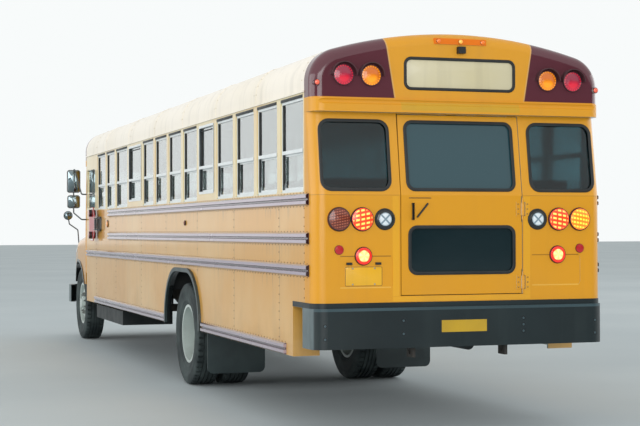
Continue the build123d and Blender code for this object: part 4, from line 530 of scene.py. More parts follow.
def bumper_colour(point):
    """Black paint, a painted highlight on the top flange, worn side returns, bolt heads, and the blank label
    on the rear one.
    """
    at_rear = point.behind(-0.020, 0.010)
    scuffs = point.noise(8.0, 4.0, (1, 1, 0.3)).ramp(0.30, 0.6, 0.55, 1.0)
    side = point.out.ramp(1.205, 1.215) * scuffs * point.z.ramp(1.0, 0.998)
    washers, heads = [discs(point.y, point.z, REAR_BOLTS, radius) * at_rear for radius in (0.015, 0.009)]
    # The paler top flange is a painted highlight.
    colour = layered("#05161A", (point.z.between(*FLANGE_HEIGHTS), "#3A5057"), (side, "#6F7D80"),
                     (point.band(*LABEL) * at_rear, "#D3A91C"), (washers, "#0A0F11"), (heads, "#3F5056"))
    return colour, heads | washers


def rail_colour(point):
    """Dark maroon rail with two ribs painted pale, a painted reflection of the sky, the groove between them
    and the feet left dark, and a dark cap at the rear end.
    """
    # The pale ribs are a painted reflection of the sky on the maroon rail.
    ribs = any_of([abs(point.z - rail).between(0.009, 0.036, 0.003) for rail in RAILS])
    cap = point.behind(0.110, 0.002)
    return layered("#4B3040", (ribs, "#AD9DAA"), (cap, "#36171A")), cap


def bonnet_colour(point):
    """Yellow bonnet with black crossing mirrors and tubes, and a dark underside."""
    outboard = point.out.ramp(1.145, 1.150) * point.z.ramp(1.390, 1.395)
    heads = point.x.ramp(fore(11.80), fore(11.81)) * (point.z.ramp(1.600, 1.605) | outboard)
    stalk = point.x.between(*MIRROR_STALK) * point.out.ramp(1.060, 1.064) * point.z.ramp(1.371, 1.373)
    mirrors = stalk | heads
    arch = distance_from(point.x, point.z, (fore(FRONT_AXLE), AXLE_HEIGHT)).ramp(0.657, 0.655)
    return layered(YELLOW, (mirrors, "#171B1D"), (arch, ARCH_BLACK)), mirrors | arch


def blade_colour(point):
    """Red octagon with a white border, a black rim and two black lamp housings."""
    across = abs(point.x - BLADE_MIDDLE)
    rise = abs(point.z - BLADE_HEIGHT)
    reach = across | rise | (across + rise) * math.sqrt(0.5)
    housing = discs(point.x, point.z, ARM_LAMPS, 0.0515)
    colour = layered("#B01A22", (reach.between(*BORDER), "#E9E6DF"), (reach.ramp(0.2300, 0.2305), "#1A1D1F"),
                     (housing, "#17191B"))
    return colour, housing


# %% Paints
PAINTS = (
    # name, colour, faded colour, roughness, coat, fade, streaks, grime top, grime amount, wave, grime
    ("side_paint", side_colour, "#E6BF80", 0.28, 0.6, 0.7, 0.10, 0.95, 0.40),
    ("end_paint", rear_colour, "#D1930F", 0.36, 0.15, 0.35, 0.05, 1.15, 0.15),
    ("door_paint", door_colour, "#D1930F", 0.30, 0.2, 0.2, 0.03, 1.15, 0.10),
    ("leaf_paint", leaf_colour, FADED_YELLOW, 0.3, 0.6, 0.6, 0.08, 0.95, 0.4),
    ("cap_paint", cap_colour, "#C99038", 0.45, 0.12, 0.25, 0.05, 0.5, 0.0),
    ("roof_paint", roof_colour, "#F0E4CE", 0.4, 0.3, 0.5, 0.14, 0.5, 0.0),
    ("rail_paint", rail_colour, "#9C8A94", 0.22, 0.9, 0.25, 0.08, 0.95, 0.25),
    ("rivet_paint", "#765425", "#92713C", 0.4, 0.4, 0.5, 0.2, 1.0, 0.4),
    ("roof_rivet_paint", "#CDBD9F", "#B6A688", 0.45, 0.2, 0.5, 0.2, 0.5, 0.0),
    ("bonnet_paint", bonnet_colour, FADED_YELLOW, 0.28, 0.8, 0.3, 0.05, 1.0, 0.4),
    ("black_paint", "#1B2327", "#33403F", 0.3, 0.6, 0.6, 0.1, 1.1, 0.25),
    ("bumper_paint", bumper_colour, "#10262A", 0.40, 0.0, 0.5, 0.06, 0.95, 0.12, 0.004, "#4A5654"),
    ("chassis_paint", "#15181A", "#3A3633", 0.6, 0.0, 0.6, 0.1, 1.0, 0.6),
    ("wheel_paint", "#D2DDD9", "#A6B2AE", 0.42, 0.2, 0.7, 0.0, 1.25, 0.35),
    ("hatch_paint", "#EDE6D8", "#D8CDB6", 0.45, 0.2, 0.5, 0.0, 0.5, 0.0),
    ("sign_cream", "#D6CDB0", "#CCBE8C", 0.35, 0.3, 0.5, 0.12, 0.5, 0.0),
    ("plate_yellow", "#F0B41C", "#DDA220", 0.35, 0.3, 0.5, 0.1, 1.3, 0.25, 0.0006),
    ("plate_edge", "#A8761A", "#8E6A24", 0.4, 0.3, 0.5, 0.1, 1.3, 0.25, 0.0006),
    ("hinge_paint", "#B47C12", "#A0762A", 0.4, 0.3, 0.5, 0.1, 1.3, 0.2, 0.0006),
    ("blade_paint", blade_colour, "#B8484A", 0.35, 0.4, 0.2, 0.05, 0.5, 0.0, 0.0005),
)
for row in PAINTS:
    weathered(*row)
print("paints made:", len(PAINTS))

# %% [markdown]
# ## Rubber, plastic, vinyl and metal
# The rest of the bus is grained. Tyres and flaps are dusty rubber, the seats are vinyl, the floor is ribbed
# rubber and the window sashes are drawn aluminium, their faces that look along the bus painted dark as
# painted shade of the jambs. The drums of the warning lamps take the maroon of the panel they stand on.
# Mirror glass is a dusty metal.

# %% Rubber, plastic, vinyl and metal
def sash_colour(point):
    """Pale aluminium, painted dark on the faces that look along the bus, as painted shade of the jambs."""
    shaded_jamb = abs(point.normal()[0]).ramp(0.70, 0.80)
    return layered("#E9EDED", (shaded_jamb, "#223033"))


def drum_colour(point):
    """Black lamp bodies, maroon round the warning lamps."""
    warning = point.z.ramp(2.640, 2.650) * point.out.ramp(0.600, 0.610)
    return layered("#16191B", (warning, "#4A2229"))


SKINS = (
    # name, colour, worn colour, scale, roughness, wear, depth, metallic, coat
    ("tyre_rubber", "#192426", "#55605F", 340, 0.72, 0.75),
    ("flap_rubber", "#1F2F31", "#3A4B4B", 180, 0.42, 0.5, 0.0006, 0.0, 0.4),
    ("gasket_rubber", "#15191A", "#2C3132", 420, 0.45, 0.5),
    ("seat_vinyl", "#35443F", "#53635C", 320, 0.45, 0.5),
    ("floor_rubber", "#23282A", "#4B4B47", 90, 0.7, 0.6),
    ("dash_plastic", "#25292B", "#41464A", 300, 0.6, 0.3),
    ("lamp_housing", drum_colour, "#2E3335", 300, 0.5, 0.4),
    ("lamp_flange", "#6B2E22", "#8A5040", 300, 0.4, 0.4),
    ("grille_black", "#17191A", "#34383A", 240, 0.5, 0.4),
    ("aluminium", sash_colour, "#BEC5C6", 500, 0.35, 0.25, 0.0002, 0.2),
    ("bright_steel", "#B4B8B8", "#7F8484", 420, 0.28, 0.7, 0.0002, 1.0),
    ("rusty_steel", "#7F8481", "#6B5142", 420, 0.5, 0.8, 0.0003, 0.5),
    ("tank_steel", "#1E2527", "#3A3E3D", 150, 0.5, 0.6, 0.0006, 0.2),
)
for row in SKINS:
    grained(*row)
shader, point = new_finish("mirror_glass", Metallic=1.0, Coat_Weight=0.5)
dust = point.noise(14.0, 4.0).ramp(0.5, 0.8)
silvered = layered("#7E8D92", (dust, "#8C9698"))
fill(shader, {"Base Color": silvered, "Roughness": dust.ramp(0.0, 1.0, 0.02, 0.2)})
print("grained finishes made:", len(SKINS))

# %% [markdown]
# ## Glass
# Window glass is a clear shader with a faint tint. Rain and road film make it a little rough in patches, and
# that is also what makes real bus glass read as glass. The rear windows are tinted much darker than the
# sides, as painted shade of the dim inside seen through them, and all of them are one CAD node, so the tint
# depends on how far back the glass is. The side glass also has a wet outer film, a coat that mirrors the sky
# when the eye runs along the bus.

# %% Glass
WET_FILM_IOR = 3.4
shader, point = new_finish("window_glass", IOR=1.5, Transmission_Weight=1.0, Coat_IOR=WET_FILM_IOR)
smear = point.noise(5.0, 4.0, (1, 1, 0.4)).ramp(0.5, 0.8)
at_rear = point.behind(0.205, 0.005)
# The dark rear tint is painted shade of the dim inside.
tint = layered("#D8E6E4", (smear, "#C3D2D0"), (at_rear, "#3E6A76"))
fill(shader, {"Base Color": tint, "Coat Weight": 1 - at_rear, "Roughness": (smear | at_rear) * 0.14})
print("window glass made")

# %% [markdown]
# ## Lamp lenses
# A lens is coloured plastic over a reflector. Where a lamp is lit, its pattern also gives off light, so its
# mask feeds both the base colour and the emission colour. The right turn lamp, both stop lamps and the tail
# lamps are lit, as on the day of the photograph; the left turn lamp is dark.
# The warning lamps are not lit; their weak glow and bright lower half are painted light.

# %% Lamp lenses
TURN = (1.014, 1.675)
STOP = (0.829, 1.675)
BACKUP = (0.644, 1.675)
TAIL = (0.819, 1.395)
REFLECTOR = (1.015, 1.443)
WARNING_RED = (0.968, 2.772)
WARNING_AMBER = (0.745, 2.772)
MARKER = (1.178, 2.710)
ROOF_LAMP_HEIGHT = 3.057
BLADE_PLANE = 1.279


def from_centre(point, centre):
    """Place across and up from a lamp's middle, with both sides of the bus alike, and the distance."""
    across = point.out - centre[0]
    rise = point.z - centre[1]
    return across, rise, distance_from(across, rise)


def lens_finish(name, centre, plastic, bright, pattern, strength=0.0, grommet=None):
    """Lens plastic that turns bright where the pattern is 1. Black rubber laps it beyond the grommet."""
    shader, point = new_finish(name, Roughness=0.12, Coat_Weight=0.7, Emission_Strength=strength)
    across, rise, reach = from_centre(point, centre)
    colour = layered(plastic, (pattern(across, rise, reach), bright))
    if grommet:
        colour = layered(colour, (reach.ramp(grommet, grommet + 0.002), "#10191C"))
    fill(shader, {"Base Color": colour})
    if strength:
        fill(shader, {"Emission Color": colour})
    add_bump(shader, (reach * 1400.0).of("SINE"), 0.25, 0.0006)


def diodes(row, dash):
    def pattern(across, rise, reach):
        values = {"Across": across, "Up": rise, "Row": row, "Dash": dash}
        return use_group(reach.tree, DIODE_ROWS, values)["Mask"] * reach.ramp(0.080, 0.074)
    return pattern


def daylit_below_visor(across, rise, reach):
    """Painted light on an unlit lens: bright low down, where daylight gets in below the visor, painted shade
    of the visor at the top, and brighter rays at the rim along the reflector's flutes.
    """
    core = rise.ramp(0.016, -0.022) * distance_from(across, rise, (0.0, -0.020)).ramp(0.060, 0.030)
    flutes = (rise.of("ARCTAN2", across) * 22.0).of("SINE").ramp(-0.2, 0.6)
    return (core + reach.ramp(0.060, 0.066) * flutes).ramp(0.0, 1.0, 0.0, 0.9)


def lit_middle(across, rise, reach):
    """A bright middle with a few darker rays, inside a red ring."""
    rays = (rise.of("ARCTAN2", across) * 5.0).of("SINE").ramp(-0.2, 0.4, 0.55, 1.0)
    return reach.ramp(0.046, 0.038) * rays


def crossed_bars(across, rise, reach):
    """The pressed cross of a clear backup lens."""
    near = abs(across - rise).of("MINIMUM", abs(across + rise))
    return near.ramp(0.006, 0.012) * reach.ramp(0.052, 0.040)


def soft_glow(across, rise, reach):
    return reach.ramp(0.05, 0.0)


LENSES = (
    # name, centre, plastic, bright, pattern, strength, grommet
    ("turn_lens_dark", TURN, "#6E2A1A", "#B25F43", diodes(0.0200, 0.0200)),
    ("turn_lens_lit", TURN, "#E87010", "#FFD23C", diodes(0.0320, 0.0260), 1.0),
    ("stop_lens_lit", STOP, "#E2360F", "#FFC45A", diodes(0.0340, 0.0420), 1.0),
    ("tail_lens_lit", TAIL, "#C9200F", "#FFE88A", lit_middle, 1.1),
    ("backup_lens", BACKUP, "#7E93A0", "#E4EEF3", crossed_bars, 0.0, 0.050),
    ("reflector_red", REFLECTOR, "#B0141E", "#D42A34", diodes(0.0070, 0.0070)),
    # Not lit: the glow of the warning lenses is painted light.
    ("warning_red", WARNING_RED, "#8E1E3A", "#E0223A", daylit_below_visor, 0.25),
    ("warning_amber", WARNING_AMBER, "#C6640E", "#FF9E14", daylit_below_visor, 0.35),
    ("marker_red", MARKER, "#A8221C", "#F06A4E", soft_glow, 0.3),
    ("marker_amber", (0.0, ROOF_LAMP_HEIGHT), "#D86A12", "#FFB84A", soft_glow, 0.5),
    ("side_amber", (1.240, 1.690), "#C25A10", "#FFA63A", soft_glow, 0.3),
    # The stop arm's lamps are dark: the brighter middle of their lenses is a painted highlight.
    ("arm_lamp_red", (BLADE_PLANE, BLADE_HEIGHT), "#A01420", "#D8303A", soft_glow),
)
for row in LENSES:
    lens_finish(*row)
print("lens finishes made:", len(LENSES))

# %% [markdown]
# ## Headlamps
# A sealed headlamp shows its silvered dish through a fluted lens. Both are one part of the CAD with the black
# bezel round them, so the finish tells them apart by place: upright flutes inside the lens in pale and darker
# stripes, which are painted highlights, a white round spot in front of the bulb, a painted highlight with a
# darker ring, and black outside.

# %% Headlamp finish
HEADLAMP = (0.870, 1.010)
LENS_ACROSS = 0.099
LENS_UP = 0.074
FLUTE = 0.011
shader, point = new_finish("headlamp_silver", Roughness=0.12, Coat_Weight=1.0, Metallic=0.4)
across, rise, reach = from_centre(point, HEADLAMP)
flutes = (across * (math.tau / FLUTE)).of("SINE").ramp(-1.0, 1.0)
# Painted highlights: the pale stripes on the flutes and the white spot in front of the bulb.
silver = layered("#AEBBC1", (flutes, "#F0F5F7"), (reach.ramp(0.034, 0.022), "#FFFFFF"),
                 (reach.between(0.034, 0.038, 0.002), "#6C7A81"))
in_lens = across.between(-LENS_ACROSS, LENS_ACROSS) * rise.between(-LENS_UP, LENS_UP)
fill(shader, {"Base Color": layered("#171B1D", (in_lens, silver))})
add_bump(shader, flutes * in_lens, 0.4, 0.0010)
print("headlamp flutes, m:", FLUTE)

# %% [markdown]
# ## Give the CAD nodes their finishes
# Each CAD node keeps its shape and gets a finish in its material slot.

# %% Finishes on the CAD nodes
FINISHES = {
    "side_paint": "left_side_wall right_side_wall",
    "leaf_paint": "entrance_rear_leaf entrance_front_leaf",
    "end_paint": "rear_wall front_wall",
    "door_paint": "emergency_door",
    "cap_paint": "rear_cap front_cap",
    "roof_paint": "roof",
    "rail_paint": "rub_rails",
    "bonnet_paint": "hood",
    "bumper_paint": "rear_bumper front_bumper",
    "black_paint": "mirrors stop_arm_bracket",
    "blade_paint": "stop_arm",
    "chassis_paint": "chassis_frame front_axle rear_axle leaf_springs engine left_knuckle right_knuckle",
    "wheel_paint": "front_left_rim front_right_rim rear_left_rims rear_right_rims",
    "hatch_paint": "rear_roof_hatch front_roof_hatch",
    "tyre_rubber": "front_left_tyre front_right_tyre rear_left_tyres rear_right_tyres",
    "flap_rubber": "mud_flaps",
    "seat_vinyl": "seats",
    "floor_rubber": "floor",
    "dash_plastic": "driver_controls",
    "lamp_housing": "lamps",
    "grille_black": "grille",
    "aluminium": "window_frames",
    "tank_steel": "tank_and_battery_box exhaust",
    "window_glass": "glazing",
    "headlamp_silver": "headlamps",
}
for finish, names in FINISHES.items():
    for name in names.split():
        NODES[name].data.materials.clear()
        NODES[name].data.materials.append(SHELF[finish])
print("dressed:", sum(len(names.split()) for names in FINISHES.values()), "nodes")

# %% [markdown]
# ## Small helpers for modelling
# Pieces are made with bmesh operators. Round ones are a profile spun about an axis, plates are a square with
# its corners bevelled and its face extruded, and blocks are a bevelled cube. A shape that is used many times
# is kept as a stamp, and `stamp` adds it to a piece at any place. `facing` is the matrix that turns a shape
# drawn on the XY plane to look outward from a surface.

# %% Helpers for modelling
def facing(place, outward, upward=(0, 0, 1)):
    """Matrix that sets a shape at a place, its Z pointing outward and its Y upward."""
    out = Vector(outward).normalized()
    across = Vector(upward).cross(out).normalized()
    turn = Matrix((across, out.cross(across), out)).transposed().to_4x4()
    return Matrix.Translation(Vector(place)) @ turn


def lathe(profile, steps=40):
    """Turns a profile of radius and height about Z."""
    bm = bmesh.new()
    points = [bm.verts.new((radius, 0, height)) for radius, height in profile]
    edges = [bm.edges.new(pair) for pair in zip(points, points[1:])]
    bmesh.ops.spin(bm, geom=points + edges, cent=(0, 0, 0), axis=(0, 0, 1), angle=math.tau, steps=steps,
                   use_merge=True)
    bmesh.ops.remove_doubles(bm, verts=bm.verts, dist=0.0002)
    bmesh.ops.recalc_face_normals(bm, faces=bm.faces)
    return bm


def round_edges(bm, geom, offset, segments=2, affect="EDGES"):
    bmesh.ops.bevel(bm, geom=geom, offset=offset, segments=segments, profile=0.5, affect=affect, material=-1)


def rounded_panel(width, height, corner, thick, band=None, edge=0.001):
    """A flat plate with round corners and its back on Z 0. band makes it a frame that wide."""
    bm = bmesh.new()
    size = Matrix.Diagonal((width, height, 1, 1))
    bmesh.ops.create_grid(bm, x_segments=1, y_segments=1, size=0.5, matrix=size)
    round_edges(bm, bm.verts[:], corner, 6, "VERTICES")
    if band:
        inset = bmesh.ops.inset_region(bm, faces=bm.faces[:], thickness=band, use_even_offset=True,
                                       use_boundary=True)
        ring = set(inset["faces"])
        bmesh.ops.delete(bm, geom=[face for face in bm.faces if face not in ring], context="FACES")
    raised = bmesh.ops.extrude_face_region(bm, geom=bm.faces[:])["geom"]
    top = {part for part in raised if isinstance(part, bmesh.types.BMVert)}
    bmesh.ops.translate(bm, vec=(0, 0, thick), verts=list(top))
    bmesh.ops.recalc_face_normals(bm, faces=bm.faces)
    rim = [e for e in bm.edges if e.verts[0] in top and e.verts[1] in top
           and any(abs(face.normal.z) < 0.5 for face in e.link_faces)]
    round_edges(bm, rim, edge)
    return bm


def block(bm, low, high, edge=0.001):
    """Adds a block between two corners, with its edges rounded."""
    low, high = Vector(low), Vector(high)
    place = Matrix.Translation((low + high) / 2) @ Matrix.Diagonal((*(high - low), 1))
    made = bmesh.ops.create_cube(bm, size=1, matrix=place)["verts"]
    round_edges(bm, list({edge_of for vert in made for edge_of in vert.link_edges}), edge)


def cone(bm, segments, foot, top, depth, place):
    bmesh.ops.create_cone(bm, cap_ends=True, segments=segments, radius1=foot, radius2=top, depth=depth,
                          matrix=place)


def bar_between(bm, start, end, radius, segments=12):
    """Adds a round bar between two points."""
    start, end = Vector(start), Vector(end)
    line = end - start
    turn = line.to_track_quat("Z", "Y").to_matrix().to_4x4()
    cone(bm, segments, radius, radius, line.length, Matrix.Translation((start + end) / 2) @ turn)


def as_stamp(bm, slot=0):
    """Keeps a bmesh as a mesh that can be added many times."""
    for face in bm.faces:
        face.material_index = slot
        face.smooth = True
    mesh = bpy.data.meshes.new("stamp")
    bm.to_mesh(mesh)
    bm.free()
    return mesh


def stamp(bm, shape, place):
    """Adds a stamp to a piece at a place."""
    start = len(bm.verts)
    bm.from_mesh(shape)
    bm.verts.ensure_lookup_table()
    bmesh.ops.transform(bm, matrix=place, verts=bm.verts[start:])


def put_in_scene(name, bm, *finishes):
    """Makes an object of a bmesh and gives it its finishes."""
    mesh = bpy.data.meshes.new(name)
    bm.to_mesh(mesh)
    bm.free()
    for finish in finishes:
        mesh.materials.append(SHELF[finish])
    made = bpy.data.objects.new(name, mesh)
    bpy.context.scene.collection.objects.link(made)
    return made


def piece(name, bm, body, *finishes):
    """Makes a piece and lets it ride on a body."""
    for face in bm.faces:
        face.smooth = True
    made = put_in_scene(name, bm, *finishes)
    made.data.set_sharp_from_angle(angle=math.radians(35))
    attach(made, body)
    print(name, "faces:", len(made.data.polygons))
    return made


def stamped(name, body, rows, *finishes):
    """A piece made of stamps. Each row is a stamp and the matrices of its places."""
    bm = bmesh.new()
    for shape, places in rows:
        for place in places:
            stamp(bm, shape, place)
    return piece(name, bm, body, *finishes)


# %% [markdown]
# ## Where the end walls are
# The rear wall stands upright to the belt and leans forward above it, and the front wall leans back. Each
# gives a function for its points, its outward way and its rise, so that a gasket lies on the metal.

# %% Places on the rear and front faces
FRONT_FACE = 10.680
FRONT_BELT = 1.600
FRONT_LEAN_TOP = 2.520
FRONT_LEAN = 0.095


def leaning_wall(face, belt, top, lean, inward):
    """inward is 1 where the wall leans forward and -1 where it leans back."""
    rise = Vector((inward * lean, 0, top - belt)).normalized()
    out = Vector((-inward * rise.z, 0, inward * rise.x))

    def on_wall(y, z):
        depth = max(0.0, z - belt) * lean / (top - belt)
        return Vector((fore(face + inward * depth), y, z))
    return on_wall, out, rise


REAR_WALL = leaning_wall(0.0, BELT, LEAN_TOP, LEAN, 1)
FRONT_WALL = leaning_wall(FRONT_FACE, FRONT_BELT, FRONT_LEAN_TOP, FRONT_LEAN, -1)
on_rear = REAR_WALL[0]
on_front, FRONT_OUT = FRONT_WALL[:2]
print("rear face leans, degrees:", round(math.degrees(math.asin(REAR_WALL[2].x)), 1))

# %% [markdown]
# ## Rubber gaskets
# Each fixed window at the ends is held in a rubber strip that laps both metal and glass. It is a rounded
# frame a little wider than the opening. The door's two panes have their own, which ride on the door. The
# destination signs at both ends have a thinner one round a blank cream pane.

# %% Gaskets and blank signs
GASKET_BAND = 0.026
GASKET_OVER = 0.013
GASKET_THICK = 0.006
REAR_WINDOW = (0.595, 1.145, 1.900, 2.430, 0.075)
WINDSCREEN = (0.070, 1.130, 1.710, 2.460, 0.080)
PANE_CORNER = 0.060
SIGN_HALF = 0.472
SIGN_LOW = 2.670
SIGN_HIGH = 2.930
SIGN_GAP = 0.004
POCKET = 0.012


def gasket(window, wall, sides=(1,)):
    """Stamp and places of the rubber round a window, given by its edges across and up and its corner."""
    low_y, high_y, low_z, high_z, corner = window
    on_wall, out, rise = wall
    width = high_y - low_y + 2 * GASKET_OVER
    height = (high_z - low_z) / rise.z + 2 * GASKET_OVER
    shape = rounded_panel(width, height, corner + GASKET_OVER, GASKET_THICK, GASKET_BAND, edge=0.0025)
    middles = [on_wall(side * (low_y + high_y) / 2, (low_z + high_z) / 2) for side in sides]
    return as_stamp(shape), [facing(middle, out, rise) for middle in middles]


stamped("rear_window_gaskets", "coach", [gasket(REAR_WINDOW, REAR_WALL, SIDES)], "gasket_rubber")
stamped("windscreen_gaskets", "coach", [gasket(WINDSCREEN, FRONT_WALL, SIDES)], "gasket_rubber")
door_walls = (REAR_WALL, (on_rear, REAR, UPRIGHT))
door_gaskets = [gasket((-half, half, low, high, PANE_CORNER), wall)
                for (half, low, high), wall in zip(DOOR_PANES, door_walls)]
stamped("door_window_gaskets", "rear_door", door_gaskets, "gasket_rubber")

for name, face, out in (("rear_sign", CAP_FACE, REAR), ("front_sign", FRONT_CAP_FACE, -REAR)):
    middle = Vector((fore(face), 0, (SIGN_LOW + SIGN_HIGH) / 2)) - out * (POCKET - 0.0005)
    size = (2 * SIGN_HALF - SIGN_GAP, SIGN_HIGH - SIGN_LOW - SIGN_GAP, PANE_CORNER)
    pane = as_stamp(rounded_panel(*size, 0.006))
    rubber = as_stamp(rounded_panel(*size, POCKET + 0.003, band=0.022, edge=0.003), slot=1)
    place = facing(middle, out)
    stamped(name, "coach", [(pane, [place]), (rubber, [place])], "sign_cream", "gasket_rubber")

# %% [markdown]
# ## Lenses
# The CAD gives every lamp a drum with a domed front. A lens is a thin shell over that dome, with shallow
# rings pressed in it, and each kind is one joined piece. A flat flange goes round the drum.

# %% Lenses
LENS_REACH = 0.94
LENS_RINGS = 12
SKIN = 0.0010
RING_DEPTH = 0.0003


def lens_shell(radius, rise):
    """Shell that follows a lamp's dome: radius and rise are the CAD lamp's own."""
    profile = [(radius * LENS_REACH, rise * (1 - LENS_REACH ** 2) - SKIN)]
    for step in range(LENS_RINGS + 1):
        share = LENS_REACH * (1 - step / LENS_RINGS)
        ridge = RING_DEPTH if step % 2 else 0.0
        profile.append((radius * share, rise * (1 - share ** 2) + SKIN - ridge))
    return lathe(profile)


def flange(radius, width, depth):
    """Flat ring round a lamp's drum."""
    bore = radius + 0.0004
    return lathe([(bore, 0.0), (bore, depth), (radius + 0.4 * width, depth + 0.0012),
                  (radius + width, depth * 0.5), (radius + width + 0.001, 0.0), (bore, 0.0)])


def lamp_set(name, places, out, depth, radius, rise, finish, rim=None, rim_finish=None):
    """Lenses, and their flanges if rim gives a width and a depth, on a set of lamps that look one way."""
    lens_places = [facing(Vector(place) + Vector(out) * depth, out) for place in places]
    rows = [(as_stamp(lens_shell(radius, rise)), lens_places)]
    finishes = [finish]
    if rim:
        rows.append((as_stamp(flange(radius, *rim), slot=1), [facing(place, out) for place in places]))
        finishes.append(rim_finish)
    stamped(name, "coach", rows, *finishes)


def both_sides(x, place):
    return [(x, side * place[0], place[1]) for side in SIDES]


REAR_LAMPS = (
    # name, sides, middle, depth, radius, rise, finish, flange, finish of the flange
    ("turn_lens_left", (1,), TURN, 0.016, 0.089, 0.012, "turn_lens_dark", (0.004, 0.010), "lamp_flange"),
    ("turn_lens_right", (-1,), TURN, 0.016, 0.089, 0.012, "turn_lens_lit", (0.004, 0.010), "lamp_flange"),
    ("stop_lenses", SIDES, STOP, 0.016, 0.089, 0.012, "stop_lens_lit", (0.003, 0.010), "lamp_flange"),
    ("backup_lenses", SIDES, BACKUP, 0.010, 0.070, 0.008, "backup_lens", (0.013, 0.010), "gasket_rubber"),
    ("tail_lenses", SIDES, TAIL, 0.010, 0.068, 0.008, "tail_lens_lit", (0.003, 0.007), "lamp_flange"),
    ("reflectors", SIDES, REFLECTOR, 0.006, 0.036, 0.002, "reflector_red", None, None),
)
for name, sides, (y, z), *shape in REAR_LAMPS:
    lamp_set(name, [(fore(0), side * y, z) for side in sides], REAR, *shape)
ENDS = (("rear", CAP_FACE, REAR, "marker_red"), ("front", FRONT_CAP_FACE, -REAR, "marker_amber"))
for end, face, out, marker in ENDS:
    x = fore(face)
    proud = x + out.x * 0.008
    roof_lamps = [(proud, y, ROOF_LAMP_HEIGHT) for y in (-0.186, 0.0, 0.186)]
    lamp_set(end + "_red_warning_lenses", both_sides(x, WARNING_RED), out, 0.018, 0.080, 0.012, "warning_red")
    lamp_set(end + "_amber_warning_lenses", both_sides(x, WARNING_AMBER), out, 0.018, 0.080, 0.012,
             "warning_amber")
    lamp_set(end + "_marker_lenses", both_sides(proud, MARKER), out, 0.005, 0.020, 0.006, marker)
    lamp_set(end + "_roof_lamp_lenses", roof_lamps, out, 0.005, 0.017, 0.005, "marker_amber")
for side, label in SIDE_LABELS:
    out = Vector((0, side, 0))
    marker_place = (fore(4.240), side * HALF_WIDTH, 1.673)
    turn_place = (fore(8.770), side * HALF_WIDTH, 1.690)
    lamp_set(label + "_side_marker_lens", [marker_place], out, 0.010, 0.026, 0.008, "lamp_flange")
    lamp_set(label + "_side_turn_lens", [turn_place], out, 0.010, 0.045, 0.008, "side_amber",
             (0.004, 0.007), "gasket_rubber")

# %% [markdown]
# ## Number plate
# The plate hangs on the pressed panel under the left lamps. It is a thin pressed sheet with a raised rim and
# four bolts, and its face is blank.

# %% Number plate
PLATE_CENTRE = (0.816, 1.241)
PLATE_SIZE = (0.305, 0.152)
PLATE_CORNER = 0.012
PLATE_BOLTS = [(across, rise, 0) for across in (-0.089, 0.089) for rise in (-0.060, 0.060)]
PRESSING = 0.003
place = facing((fore(PRESSING), *PLATE_CENTRE), REAR)
sheet = as_stamp(rounded_panel(*PLATE_SIZE, PLATE_CORNER, 0.0012, edge=0.0004))
inner_size = [size - 0.002 for size in PLATE_SIZE]
rim = as_stamp(rounded_panel(*inner_size, PLATE_CORNER, 0.0026, band=0.006, edge=0.0008), slot=2)
bolt = as_stamp(lathe([(0.0065, 0.0), (0.0065, 0.0022), (0.0048, 0.0038), (0.0, 0.0044)], 12), slot=1)
bolt_places = [place @ Matrix.Translation(bolt_place) for bolt_place in PLATE_BOLTS]
stamped("number_plate", "coach", [(sheet, [place]), (rim, [place]), (bolt, bolt_places)],
        "plate_yellow", "bright_steel", "plate_edge")

# %% [markdown]
# ## Rivets
# The side sheets are riveted along both edges of each rub rail and up each seam between sheets. Every rivet
# is the same small dome of a few faces, stamped into one mesh. The roof's rivets run over its bows; a ray
# cast down at the CAD roof finds the metal under each one.

# %% Rivets along the walls
RIVET_PITCH = 0.085
RIVET_OFF = 0.052
RIVET_END = 0.030
RAIL_START = 0.150
RAIL_ENDS = {1: (8.670, 8.670, 10.400), -1: (9.640, 9.640, 9.640)}
SKIRT_RUNS = {1: ((0.700, 3.508), (5.182, 9.720)), -1: ((0.700, 3.508), (5.182, 9.640))}
SEAM_PITCH = 0.070
SEAM_TOP = 1.760
rivet = as_stamp(lathe([(0.0066, 0.0), (0.0056, 0.0018), (0.0030, 0.0030), (0.0, 0.0034)], 8))


def spaced(start, end, pitch):
    """Even places between two ends."""
    count = max(1, round((end - start) / pitch))
    return [start + (end - start) * number / count for number in range(count + 1)]


for side, label in SIDE_LABELS:
    spots = []
    for rail, end in zip(RAILS, RAIL_ENDS[side]):
        along_rail = spaced(RAIL_START, end - RIVET_END, RIVET_PITCH)
        spots += [(fore(distance), rail + off) for distance in along_rail for off in (-RIVET_OFF, RIVET_OFF)]
    for start, end in SKIRT_RUNS[side]:
        along_skirt = spaced(start + RIVET_END, end - RIVET_END, RIVET_PITCH)
        spots += [(fore(distance), RAILS[3] + RIVET_OFF) for distance in along_skirt]
    for seam in PANEL_SEAMS:
        foot = 1.205 if 3.4 < seam + REAR_TO_MIDDLE < 5.3 else 0.735
        heights = spaced(foot, SEAM_TOP, SEAM_PITCH)
        spots += [(seam + 0.012, z) for z in heights if all(abs(z - rail) > 0.065 for rail in RAILS)]
    places = [facing((x, side * HALF_WIDTH, z), (0, side, 0)) for x, z in spots]
    stamped(label + "_wall_rivets", "coach", [(rivet, places)], "rivet_paint")

